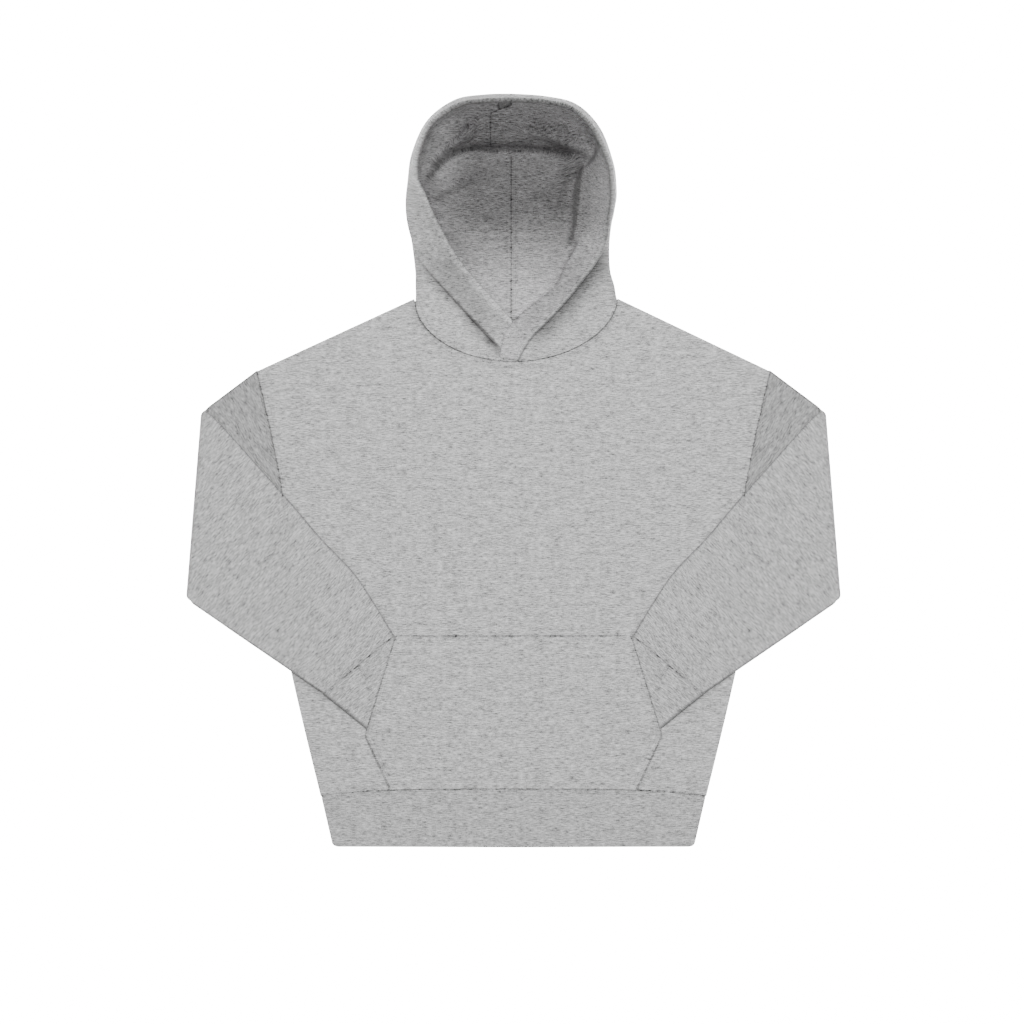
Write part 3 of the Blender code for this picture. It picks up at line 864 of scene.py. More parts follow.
@dataclass(frozen=True)
class Pocket:
    """The kangaroo pocket: one ply on the front, raised over the cuffs' ends."""

    cuff: Cuff
    cut: Cut
    name: str = "kangaroo_pocket"
    edge: Points = (
        (149.5, 269.5), (153.5, 260.0), (176.0, 187.0), (188.0, 149.0), (189.4, 142.0), (158.0, 75.5)
    )
    margin: float = 2.0  # how far past the cuff it stays up
    ramp: float = 62.0  # how far from there it comes down
    ease: float = 1.2  # how much higher than it must be it stands over the cuff
    tack: float = 6.5  # below its top seam, how soon it can rise
    size: tuple[float, float] = (340.0, 194.0)  # for the points' spacing
    across: int = 190
    up: int = 120

    def half(self, y: Array) -> Array:
        """Half its width at each height."""
        line = np.array(self.edge)[::-1]
        return np.interp(y, line[:, 1], line[:, 0])

    def to_cuff(self, x: Array, y: Array) -> Array:
        """Distance to the cuff's outline.

        Args:
            x: across, from the middle.
            y: up the garment.

        Returns:
            The distance at each point, 0 inside.
        """
        corners = self.cuff.corners()
        closed = np.concatenate([corners, corners[:1]])
        far, _, _ = distance_to_line(x, y, closed)
        inside = np.ones(x.shape, bool)
        for (ax, ay), (bx, by) in zip(closed, closed[1:]):
            inside &= (bx - ax) * (y - ay) - (by - ay) * (x - ax) <= 0
        return np.where(inside, 0.0, far)

    def build(self) -> bpy.types.Object:
        """The pocket as a wall of cloth."""
        high, low = self.edge[0][1], self.edge[-1][1]
        level = high - (high - low) * shares_of(self.size[1], self.up)[:, None]
        u = 2 * shares_of(self.size[0], self.across)[None, :] - 1
        x = self.half(level) * u
        foot = smooth_step((high - level) / (high - low) * 2 - 1)
        y = level + foot * (hem_seam(x) + 1 - low)
        raised = 1 - smooth_step((self.to_cuff(np.abs(x), y) - self.margin) / self.ramp)
        raised *= smooth_step((high - y) / self.tack)
        sewn = (self.half(level) - np.abs(x)) + np.maximum(y - self.edge[-2][1], 0) * 1.5
        raised *= smooth_step((sewn + 1) / 30) * smooth_step((y - hem_seam(x)) / 40)
        z = 2 * PLY + FLOOR + (2 * BAND_WALL + GAP + self.ease) * raised
        near = np.minimum(np.minimum(high - y, y - hem_seam(x)), 200)
        mouth = (self.half(level) - np.abs(x)) * 0.95
        puff = smooth_step(near / 14) * smooth_step(mouth / 14) * (0.55 + 0.45 * ripple(x, y, 62, 21))
        z += np.maximum(puff, 0) + 0.5 * smooth_step(1 - np.abs(mouth - 3.5) / 4) * smooth_step(near / 10)
        grid = SWELL.lift(np.stack([x, y, z], axis=-1))[::-1]
        edges = [[(-self.edge[0][0], high), self.edge[0]]]
        edges += [[(s * a, b) for a, b in self.edge] for s in (1, -1)]
        return wall(self.name, grid, stitched(plan_map(grid), grid, edges))


# ---- the hood ----

SEAM_X = -3.0  # the hood's centre seam
CROWN_Y = 885.0  # how far up the floor of the hood that seam runs
SEAM_INSET = 0.9  # from the neck seam to the hood's own edge
SHOULDER_TURN = 0.2  # share of the neck over which the hood goes round the shoulder
NECK_LIFT, SHOULDER_LIFT = 2.0, 3.4  # plies under the hood's edge at the front neck, and how many more
FRONT_MEETING, FRONT_PARTING = 0.107, 0.009  # angle past the middle where the fronts meet, half their gap
CROWN_STAND, STAND_FROM, STAND_OVER = 0.6, 0.6, 1.8  # how much higher the crown stands, and where that starts
SEAM_TRIM = 2.5  # how much less the inner ply reaches at the neck
SEAM_HALF_GAP = 0.02  # each half's distance from the centre seam
NECK_LAST, STRIP_FIRST = 58, 54  # outer ply's columns: the neck part's last, the first of the strip above it
LINED_FIRST, LIP = 66, 65  # the strip's first column on the inner ply, and the column of the rolled edge
RIM_PAINTED_HIGHLIGHT, RIM_PAINTED_SHADE = 0.32, 0.5  # painted highlight on the rim's top, and painted shade on its inner edge
# painted shade along the rolled edge, stronger on the left
LIP_PAINTED_SHADE = {Side.LEFT: 0.5, Side.RIGHT: 0.2}
CREST_LINE = ((-119, 838), (-94, 866), (-75, 883), (-45, 892), (0, 889), (40, 888), (72, 881), (92, 873))


@dataclass(frozen=True)
class Rib:
    """One rib of the outer ply, by its corners.

    at is 0 at the front neck, 1 at the shoulder, 2 at the back neck and 3 at the crown.
    """

    at: float
    side: tuple[float, float, float]
    tuck: tuple[float, float, float]
    lip: tuple[float, float, float]
    rim: tuple[float, float, float]

    def row(self) -> list[float]:
        """The rib as one row of numbers."""
        return [self.at, *self.side, *self.tuck, *self.lip, *self.rim]


@dataclass(frozen=True)
class Band:
    """Where the inner ply stands off the outer one: its foot, the turn under its edge, and the edge."""

    row: int
    foot: tuple[float, float, float]
    under: tuple[float, float, float]
    edge: tuple[float, float, float]


LEFT_RIBS = (
    Rib(0.00, (-14, 630, 6), (-12, 640, 7), (-17, 637, 10.5), (-1, 662, 12)),
    Rib(0.30, (-36, 634, 8), (-26, 648, 9.5), (-29, 653, 15), (-7, 675, 17)),
    Rib(0.55, (-68, 652, 9), (-51, 675, 12), (-56, 680, 23), (-34, 705, 28)),
    Rib(0.80, (-100, 680, 13), (-80, 707, 17), (-85, 711, 29), (-61, 735.5, 37)),
    Rib(1.00, (-122, 717, 14), (-107, 738, 18), (-112, 741, 30), (-77, 757, 37)),
    Rib(1.30, (-127.5, 740, 7), (-119, 757, 18), (-125, 761, 32), (-93, 785, 42)),
    Rib(1.65, (-130, 782, 1), (-133, 790, 18), (-134.5, 794, 35), (-106, 811, 48)),
    Rib(2.00, (-131, 818, 1), (-137, 820, 20), (-137.5, 822, 37), (-117, 835, 53)),
    Rib(2.15, (-128, 848, 1), (-135, 850, 20), (-135, 851, 38), (-126.5, 855, 54)),
    Rib(2.36, (-120, 882, 1), (-129, 886, 20), (-129.5, 888, 40), (-125.5, 887, 55)),
    Rib(2.58, (-100, 921, 1), (-110, 929, 20), (-110, 929, 40), (-108, 926.5, 55)),
    Rib(2.78, (-68, 945, 1), (-75, 955, 20), (-75, 955.5, 40), (-72, 951, 55)),
    Rib(2.90, (-34, 952, 1), (-37, 962, 20), (-37, 962, 40), (-36, 957, 54)),
    Rib(3.00, (-3.2, 953, 1), (-3.2, 963, 20), (-3.2, 963, 40), (-3.2, 958, 53)),
)
RIGHT_RIBS = (
    Rib(0.00, (-11, 626, 7), (-14, 627, 8.5), (-15.5, 628, 11.5), (4, 625, 10)),
    Rib(0.15, (3, 634, 11), (-7, 652, 15), (-9, 656, 24), (19, 651, 21)),
    Rib(0.40, (34, 642, 12), (8, 671, 16), (4, 675, 26), (36, 669, 22)),
    Rib(0.62, (72, 663, 13), (36, 693, 17), (31, 698, 28), (57, 691, 24)),
    Rib(0.82, (100, 686, 14), (62, 713, 18.5), (56, 719, 30), (77, 714.5, 26)),
    Rib(1.00, (126, 718, 15), (76, 743, 21), (69, 747, 33), (100, 745, 29)),
    Rib(1.30, (125.5, 748, 4), (98, 774, 26), (91, 777, 39), (114, 770, 37)),
    Rib(1.65, (125, 790, 1), (123, 797, 26), (117, 799, 45), (123, 798, 52)),
    Rib(2.00, (125, 822, 1), (130, 823, 24), (130, 823, 42), (128.5, 823, 54)),
    Rib(2.15, (125, 848, 1), (131, 849, 24), (131, 849, 42), (128.8, 848.5, 55)),
    Rib(2.36, (118, 876, 1), (126.5, 878, 22), (126.5, 878, 42), (124.3, 877, 55)),
    Rib(2.58, (101, 912, 1), (110, 920, 20), (110, 920, 40), (106, 917, 55)),
    Rib(2.78, (72, 940, 1), (80, 950, 20), (80, 950, 40), (77, 946, 55)),
    Rib(2.90, (36, 950, 1), (40, 960, 20), (40, 960, 40), (39, 956, 54)),
    Rib(3.00, (-2.8, 953, 1), (-2.8, 963, 20), (-2.8, 963, 40), (-2.8, 958, 53)),
)
RIGHT_BAND = (
    Band(5, (68, 742, 6), (68, 744, 30), (70, 747, 42)),
    Band(6, (73, 770, 3.5), (75, 772, 22), (79, 774, 32)),
    Band(7, (77, 796, 3.3), (79, 797, 18), (82, 799, 27)),
    Band(8, (77, 822, 3.3), (79, 823, 16), (83, 823, 24)),
    Band(9, (79, 846, 3.3), (81, 847, 14), (86, 847, 22)),
    Band(10, (86, 867, 3.3), (89, 869, 13), (94, 871, 21)),
)


@dataclass(frozen=True)
class HoodHalf:
    """One side of the hood: an outer ply from the neck seam round to the rim, and an inner ply inside it."""

    side: Side
    ribs: tuple[Rib, ...]
    outer_cut: Cut
    inner_cut: Cut
    outer_creases: tuple[Crease, ...]
    inner_creases: tuple[Crease, ...]
    neck_shades: tuple[Crease, ...] = ()  # painted shadow on the neck part, under the rolled edge
    strip_shades: tuple[Crease, ...] = ()  # painted shade and painted highlight on the part that shows above it
    # painted shade and painted highlight on the inner ply
    inner_shades: tuple[Crease, ...] = ()
    band: tuple[Band, ...] = ()
    rows: int = 190
    turns: tuple[float, ...] = (22.0, 7.0, 6.0)  # how long each turn is on either side of its corner
    runs: tuple[int, ...] = (34, 7, 5, 9)  # points on each straight run
    turn_steps: int = 9
    curl_steps: int = 8
    curl: float = 3.4  # how far the hem of the face opening is folded in

    def own_side(self, x: Array, edge: Array | float) -> Array:
        """The places across, none past the edge between the halves."""
        return np.minimum(x, edge) if self.side is Side.LEFT else np.maximum(x, edge)

    def base(self, at: Array) -> Array:
        """The hood's lower edge: front neck to shoulder, round to the back neck and up the centre seam.

        Args:
            at: places along it, 0 to 3 as on the ribs.

        Returns:
            One point for each place.
        """

        def inside(angle: Array, drop: float) -> Array:
            """Points just inside the neck seam."""
            return neck(angle, drop) + np.stack([-np.cos(angle), np.sin(angle)], axis=-1) * inset

        side = self.side.value
        turn = math.pi * smooth_step((at - 1 + SHOULDER_TURN) / (2 * SHOULDER_TURN))
        front = FLOOR + PLY * (NECK_LIFT + SHOULDER_LIFT * smooth_step(at / (1 - SHOULDER_TURN)))
        z = (front + FLOOR + (front - FLOOR) * np.cos(turn)) / 2
        inset = (SEAM_INSET + WALL / 4 * np.sin(turn))[:, None]
        middle = math.pi / 2 + FRONT_MEETING - side * FRONT_PARTING
        fore = middle + (math.pi - middle) * at if side < 0 else middle * (1 - at)
        aft = math.pi * (1.5 - at / 2) if side < 0 else math.pi * (at - 1) / 2
        fore, aft = np.clip(fore, 0, math.pi), np.clip(aft, 0, math.pi)
        before, behind = inside(fore, FRONT_NECK_DROP), inside(aft, BACK_NECK_DROP)
        seam = SEAM_X + side * SEAM_HALF_GAP
        behind[:, 0] = self.own_side(behind[:, 0], seam)
        foot = SHOULDER_Y - BACK_NECK_DROP + SEAM_INSET
        up = np.stack([np.full(at.shape, seam), foot + (CROWN_Y - foot) * (at - 2)], axis=-1)
        plan = np.where((at <= 1)[:, None], before, np.where((at <= 2)[:, None], behind, up))
        return np.concatenate([plan, z[:, None]], axis=1)

    def stops(self) -> Array:
        """Where its rows stand on the rib table, evenly along the rim and the base."""
        fine = np.linspace(0, 1, 600)
        table = curve_through([r.row() for r in self.ribs], fine)
        base = self.base(np.clip(table[:, 0], 0, 3))
        rim_step = np.linalg.norm(np.diff(table[:, 10:13], axis=0), axis=1)
        base_step = np.linalg.norm(np.diff(base, axis=0), axis=1)
        length = np.concatenate([[0], np.cumsum(rim_step + 0.5 * base_step)])
        return np.interp(np.linspace(0, 1, self.rows) * length[-1], length, fine)

    def stood(self, corners: Array, at: Array) -> Array:
        """Corners at the height at which they stand.

        Args:
            corners: rows by corners of points.
            at: where each row stands, as on the ribs.

        Returns:
            The corners, higher towards the crown.
        """
        share = 1 + CROWN_STAND * smooth_step((at - STAND_FROM) / STAND_OVER)
        raised = corners.copy()
        raised[..., 2] *= share[:, None]
        return raised

    def rib_points(self, corners: Array) -> Array:
        """Points along ribs, in straight runs with rounded turns.

        Args:
            corners: five corners for each rib.

        Returns:
            Ribs by columns of points.
        """
        parts, start = [], corners[:, 0]
        for k, turn in enumerate(self.turns, start=1):
            before, corner, after = corners[:, k - 1], corners[:, k], corners[:, k + 1]
            into = np.minimum(turn, np.linalg.norm(corner - before, axis=1) * 0.45)[:, None]
            out = np.minimum(turn, np.linalg.norm(after - corner, axis=1) * 0.45)[:, None]
            first, final = corner + unit(before - corner) * into, corner + unit(after - corner) * out
            t = (np.arange(self.runs[k - 1]) / self.runs[k - 1])[None, :, None]
            parts.append(start[:, None] * (1 - t) + first[:, None] * t)
            t = (np.arange(self.turn_steps) / self.turn_steps)[None, :, None]
            bend = first[:, None] * (1 - t) ** 2 + corner[:, None] * 2 * t * (1 - t)
            parts.append(bend + final[:, None] * t * t)
            start = final
        t = np.linspace(0, 1, self.runs[3] + 1)[None, :, None]
        parts.append(start[:, None] * (1 - t) + corners[:, -1:] * t)
        return np.concatenate(parts, axis=1)

    def inward(self, grid: Array) -> Array:
        """Unit vectors from the outer ply towards the inner one."""
        normal = normals_of(grid) * self.side.value
        normal[:, 0] = normal[:, 1]
        return normal

    def outer_grid(self) -> tuple[Array, Array]:
        """The outer ply's middle points, without its hem, and where each row stands on the rib table."""
        stops = self.stops()
        table = curve_through([r.row() for r in self.ribs], stops)
        at = np.clip(table[:, 0], 0, 3)
        raised = self.stood(table[:, 4:13].reshape(-1, 3, 3), at)
        corners = np.concatenate([self.base(at)[:, None], table[:, None, 1:4], raised], axis=1)
        grid = self.rib_points(corners)
        grid = smoothed(grid, 2)
        facing = np.clip(-self.inward(grid)[..., 2] * 2, 0, 1)
        lift = shade_of(self.outer_creases, grid[..., 0], grid[..., 1])
        keep = smooth_step(np.arange(grid.shape[1]) / 8)[None]
        grid[..., 2] += lift * facing * keep * smooth_step((grid[..., 2] - 6) / 6)
        return grid, stops * (len(self.ribs) - 1)

    def inner_grid(self, outer: Array, stops: Array) -> Array:
        """The inner ply's middle points, with its crest, its creases and its own broad fold.

        Args:
            outer: the outer ply's.
            stops: where each row stands on the rib table.

        Returns:
            A grid of the same size, one ply inside.
        """
        inward = self.inward(outer)
        ease = 1.2 * smooth_step(1 - np.abs(stops - 6.6) / 1.6)[:, None, None] if self.band else 0.0
        grid = outer + inward * (PLY + ease)
        grid[-1, :, 0] = outer[-1, :, 0]
        strip = np.linalg.norm(grid[:, 6] - grid[:, 0], axis=1)
        trim = np.minimum(SEAM_TRIM, 0.35 * strip) * (grid[:, 0, 1] < SHOULDER_Y)
        fade = np.clip(1 - np.arange(6) / 6, 0, 1)[None, :, None]
        grid[:, :6] += unit(grid[:, 6:7] - grid[:, :1]) * trim[:, None, None] * fade
        if self.band:
            grid = self.with_band(grid, stops)
        x, y, z = grid[..., 0], grid[..., 1], grid[..., 2]
        grid[..., 2] = np.maximum(z, FLOOR + PLY)
        low = 1 - smooth_step((z - 8) / 12)
        crest = Crease(curve_through(CREST_LINE, np.linspace(0, 1, 60)), 19.0, 6.5, 90.0, 0.15)
        facing = np.clip(self.inward(grid)[..., 2] * 2, 0, 1)
        grid[..., 2] += crest.lift(x, y) * low
        creases, column = shade_of(self.inner_creases, x, y), np.arange(grid.shape[1])
        calm = smooth_step(column / 6) * smooth_step((grid.shape[1] - 1 - column) / 4)
        grid[..., 2] += creases * facing * calm[None]
        grid[..., 2] += 0.5 * (1 + ripple(x, y, 58, 31)) * low * facing * calm[None]
        shift = smooth_step((y - 884) / 9) * (1 - smooth_step((y - 938) / 12)) * low
        grid[..., 0] -= 26.5 * shift * np.exp(-(((x - SEAM_X) / 52) ** 2))
        return grid

    def with_band(self, grid: Array, stops: Array) -> Array:
        """The grid drawn to the broad fold beside the rim.

        Args:
            grid: the inner ply's middle points.
            stops: where each row stands on the rib table.

        Returns:
            The drawn grid.
        """
        first, last = self.band[0].row, self.band[-1].row
        share = smooth_step((stops - first) / 1.6) * smooth_step((last + 1 - stops) / 1.2)
        t = np.clip((stops - first) / (last - first), 0, 1)
        rows = curve_through([[*b.foot, *b.under, *b.edge] for b in self.band], t).reshape(-1, 3, 3)
        at = self.ribs[first].at + (self.ribs[last].at - self.ribs[first].at) * t
        raised = self.stood(rows[:, 1:], at)
        corners = np.concatenate([grid[:, :1], rows[:, :1], raised, grid[:, -1:]], axis=1)
        loose = self.rib_points(corners)
        back = np.ones(grid.shape[1])
        tail = self.runs[3] + 1
        back[-tail:] = np.interp(np.linspace(0, 1, tail), [0, 0.5, 1], [0.6, 0.12, 0.0])
        back[-tail - self.turn_steps : -tail] = np.linspace(1, 0.65, self.turn_steps)
        part = (share[:, None] * back[None])[..., None]
        return smoothed(grid * (1 - part) + loose * part, 3)

    def with_hem(self, grid: Array) -> Array:
        """The outer grid with its hem folded over the inner ply's edge."""
        inward, run = self.inward(grid)[:, -1], unit(grid[:, -1] - grid[:, -3])
        inward = unit(inward - run * np.einsum("ij,ij->i", inward, run)[:, None])
        centre = grid[:, -1] + inward * PLY
        turns = [math.pi * k / self.curl_steps for k in range(1, self.curl_steps + 1)]
        arc = [centre + (run * math.sin(t) - inward * math.cos(t)) * PLY for t in turns]
        quick, slow = (np.sin(np.linspace(0, end, len(grid)))[:, None] for end in (23, 7))
        wave = 0.8 + 0.35 * quick * slow
        flap = [arc[-1] - run * self.curl * wave * k / 4 for k in range(1, 5)]
        return np.concatenate([grid, np.stack(arc + flap, axis=1)], axis=1)

    def cloth_of(self, grid: Array, shades: Sequence[Crease], first: int = 0, last: int = 999) -> Array:
        """Cloth coordinates, from the plan drawn out where the cloth stands up, with stitches and painted
        shade.

        Args:
            grid: the ply's middle points.
            shades: painted shade and painted highlight, where it is pressed or overhung.
            first: the first column that they reach.
            last: the last one.

        Returns:
            MAPPED numbers for each point.
        """
        step = np.linalg.norm(np.diff(grid, axis=1), axis=2)
        length = np.concatenate([np.zeros((len(grid), 1)), np.cumsum(step, axis=1)], axis=1)
        x, y, z = grid[..., 0], grid[..., 1], grid[..., 2]
        cloth = np.stack([x * (1 + z / 150), y + 0.9 * z * smooth_step((y - 780) / 150)], axis=-1)
        seam = [(SEAM_X, SHOULDER_Y - BACK_NECK_DROP), (SEAM_X, CROWN_Y)]
        column = np.arange(grid.shape[1])
        there = smooth_step((column - first + 3) / 6) * smooth_step((last + 3 - column) / 6)
        shade = shade_of(shades, x, y) * there
        sewn = stitched(cloth, grid, [neck(np.linspace(math.pi, 0, 60), FRONT_NECK_DROP), seam], shade)
        sewn[..., 3] = np.maximum(sewn[..., 3], 0.5 * length - 4)
        crown = np.linalg.norm(grid - grid[-1:], axis=2)
        sewn[..., 2] = np.where(crown < sewn[..., 3], length, sewn[..., 2])
        sewn[..., 3] = np.minimum(sewn[..., 3], crown)
        return sewn

    def kept_apart(self, grid: Array) -> Array:
        """The grid kept on its own side of the centre seam."""
        seam = grid[-1, : self.runs[0] + 4]
        edge = np.interp(grid[..., 1], seam[:, 1], seam[:, 0])
        edge = np.where(grid[..., 1] > CROWN_Y - 2, edge, SEAM_X)
        room = edge + self.side.value * SEAM_HALF_GAP
        grid = grid.copy()
        held = grid[..., 1] > SHOULDER_Y - BACK_NECK_DROP
        grid[..., 0] = np.where(held, self.own_side(grid[..., 0], room), grid[..., 0])
        return grid

    def build(self) -> list[bpy.types.Object]:
        """The outer and the inner ply as walls of cloth."""
        outer, stops = self.outer_grid()
        inner = self.kept_apart(self.inner_grid(outer, stops))
        hemmed = self.kept_apart(self.with_hem(outer))
        # painted shadow on the neck part and painted shade on the strip above it
        sewn = self.cloth_of(hemmed, self.neck_shades, last=NECK_LAST)
        sewn[..., SHADE] += self.cloth_of(hemmed, self.strip_shades, first=STRIP_FIRST)[..., SHADE]
        # painted shade and painted highlight on the inner ply, and on its strip
        lined = self.cloth_of(inner, self.inner_shades)
        lined[..., SHADE] += self.cloth_of(inner, self.strip_shades, first=LINED_FIRST)[..., SHADE]
        # painted highlight on the rim's top, painted shade on its inner edge and along the rolled edge
        column, rim = np.arange(hemmed.shape[1]), outer.shape[1]
        sewn[..., SHADE] -= RIM_PAINTED_HIGHLIGHT * smooth_step(1 - np.abs(column - rim) / 3)
        sewn[..., SHADE] += RIM_PAINTED_SHADE * smooth_step(1 - np.abs(column - (rim + 5)) / 3)
        sewn[..., SHADE] += LIP_PAINTED_SHADE[self.side] * smooth_step(1 - np.abs(column - LIP) / 5)
        return [
            wall(f"hood_outer_{self.side.word}", hemmed, sewn),
            wall(f"hood_inner_{self.side.word}", inner, lined),
        ]


# ---- finishes ----

Value = Any  # a number, a colour or vector as a tuple, or a Sock


class Sock:
    """A node's output; arithmetic on it adds maths nodes."""

    def __init__(self, web: "Web", output: bpy.types.NodeSocket) -> None:
        """Keeps the output and the node tree it is in."""
        self.web, self.output = web, output

    def _maths(self, operation: str, a: Value, b: Value) -> "Sock":
        """One maths node on two values."""
        return self.web.node("ShaderNodeMath", {"operation": operation}, {0: a, 1: b})

    def __add__(self, other: Value) -> "Sock":
        """Sum."""
        return self._maths("ADD", self, other)

    def __radd__(self, other: Value) -> "Sock":
        """Sum."""
        return self._maths("ADD", other, self)

    def __sub__(self, other: Value) -> "Sock":
        """Difference."""
        return self._maths("SUBTRACT", self, other)

    def __rsub__(self, other: Value) -> "Sock":
        """Difference the other way."""
        return self._maths("SUBTRACT", other, self)

    def __mul__(self, other: Value) -> "Sock":
        """Product."""
        return self._maths("MULTIPLY", self, other)

    def __rmul__(self, other: Value) -> "Sock":
        """Product."""
        return self._maths("MULTIPLY", other, self)

    def __truediv__(self, other: Value) -> "Sock":
        """Quotient."""
        return self._maths("DIVIDE", self, other)

    def fract(self) -> "Sock":
        """The part after the point."""
        return self._maths("FRACT", self, 0.0)

    def distance(self, other: Value) -> "Sock":
        """Absolute difference."""
        return self.web.node("ShaderNodeMath", {"operation": "ABSOLUTE"}, {0: self - other})

    def fall(self, near: float, far: float) -> "Sock":
        """1 below near, 0 above far, smooth between."""
        inputs = {"Value": self, "From Min": near, "From Max": far, "To Min": 1.0, "To Max": 0.0}
        return self.web.node("ShaderNodeMapRange", {"interpolation_type": "SMOOTHSTEP"}, inputs)


class Web:
    """A material's node tree, built node by node."""

    def __init__(self, name: str) -> None:
        """A new material with only a Principled shader."""
        self.material = bpy.data.materials.new(name)
        self.material.use_nodes = True
        self.tree = self.material.node_tree
        self.shader = self.tree.nodes["Principled BSDF"]

    def put(self, socket: bpy.types.NodeSocket, value: Value) -> None:
        """Links or sets a value on an input.

        Args:
            socket: the input.
            value: what goes in.
        """
        if isinstance(value, Sock):
            self.tree.links.new(value.output, socket)
        else:
            socket.default_value = value

    def node(
        self, kind: str, settings: dict[str, Any], inputs: dict[str | int, Value], output: int = 0
    ) -> Sock:
        """Adds a node.

        Args:
            kind: its type.
            settings: properties, set first.
            inputs: values or links for its sockets.
            output: which output to return.

        Returns:
            The chosen output.
        """
        made = self.tree.nodes.new(kind)
        for key, value in settings.items():
            setattr(made, key, value)
        for key, value in inputs.items():
            self.put(made.inputs[key], value)
        return Sock(self, made.outputs[output])

    def noise(self, place: Sock, size: tuple[float, float], detail: float = 2.0) -> Sock:
        """Noise with grains of one size.

        Args:
            place: cloth coordinates.
            size: the grains' length and width in metres.
            detail: how many finer layers it has.

        Returns:
            The noise, about 0.5 on average.
        """
        stretch = (1 / size[0], 1 / size[1], 1.0)
        scaled = self.node("ShaderNodeVectorMath", {"operation": "MULTIPLY"}, {0: place, 1: stretch})
        inputs = {"Vector": scaled, "Scale": 1.0, "Detail": detail, "Roughness": 0.55}
        return self.node("ShaderNodeTexNoise", {}, inputs)


@dataclass(frozen=True)
class HeatherFleece:
    """Brushed heather fleece: dull, with light and dark streaks, rows of stitches and painted shade at its
    seams.
    """

    name: str
    colour: tuple[float, float, float]
    contrast: float = 3.1
    roughness: float = 0.9
    sheen: float = 0.15
    rows: tuple[float, float] = (0.0024, 0.0056)  # how far in from a seam its stitches run
    stitch: float = 0.0034  # one stitch's length

    def make(self) -> bpy.types.Material:
        """The material."""
        web = Web(self.name)
        place = web.node("ShaderNodeUVMap", {"uv_map": "cloth"}, {})
        streaks = web.noise(place, (0.0065, 0.0014), 3.0)
        mottle = web.noise(place, (0.022, 0.006), 2.0)
        grain = web.noise(place, (0.0016, 0.0011), 2.0)
        heather = (streaks - 0.5) * 0.9 + (mottle - 0.5) * 0.35 + (grain - 0.5) * 0.5
        sewn = web.node("ShaderNodeUVMap", {"uv_map": "stitch"}, {})
        split = web.node("ShaderNodeSeparateXYZ", {}, {0: sewn})
        inward = Sock(web, split.output.node.outputs[1])
        dashes = (split / self.stitch).fract().distance(0.5).fall(0.30, 0.44)
        near, far = (inward.distance(row).fall(0.0002, 0.0009) for row in self.rows)
        line = near + far
        thread = line * (0.35 + dashes * 0.65)
        # painted shade: darker within 1.7 mm of a sewn edge, for the shade in the seam's groove
        seam = inward.fall(0.0003, 0.0017)
        # painted shade and painted highlight from the shade map: the colour is scaled by one minus it
        shade_map = web.node("ShaderNodeUVMap", {"uv_map": "shade"}, {})
        painted_shade = web.node("ShaderNodeSeparateXYZ", {}, {0: shade_map})
        shade = (heather * self.contrast - thread * 0.12 - seam * 0.5 + 1.0) * (1.0 - painted_shade)
        tint = web.node("ShaderNodeVectorMath", {"operation": "SCALE"}, {0: self.colour, "Scale": shade})
        fibres = web.noise(place, (0.0022, 0.0009), 3.0)
        height = fibres * 0.6 + streaks * 0.4 - line * 1.1
        bump = web.node("ShaderNodeBump", {}, {"Height": height, "Strength": 0.35, "Distance": 0.0007})
        web.put(web.shader.inputs["Base Color"], tint)
        web.put(web.shader.inputs["Normal"], bump)
        web.put(web.shader.inputs["Roughness"], self.roughness)
        web.put(web.shader.inputs["Sheen Weight"], self.sheen)
        web.put(web.shader.inputs["Sheen Roughness"], 0.6)
        web.put(web.shader.inputs["Specular IOR Level"], 0.2)
        return web.material


def deselect() -> None:
    """Deselects everything, so that an operator acts on its own object only."""
    bpy.ops.object.select_all(action="DESELECT")


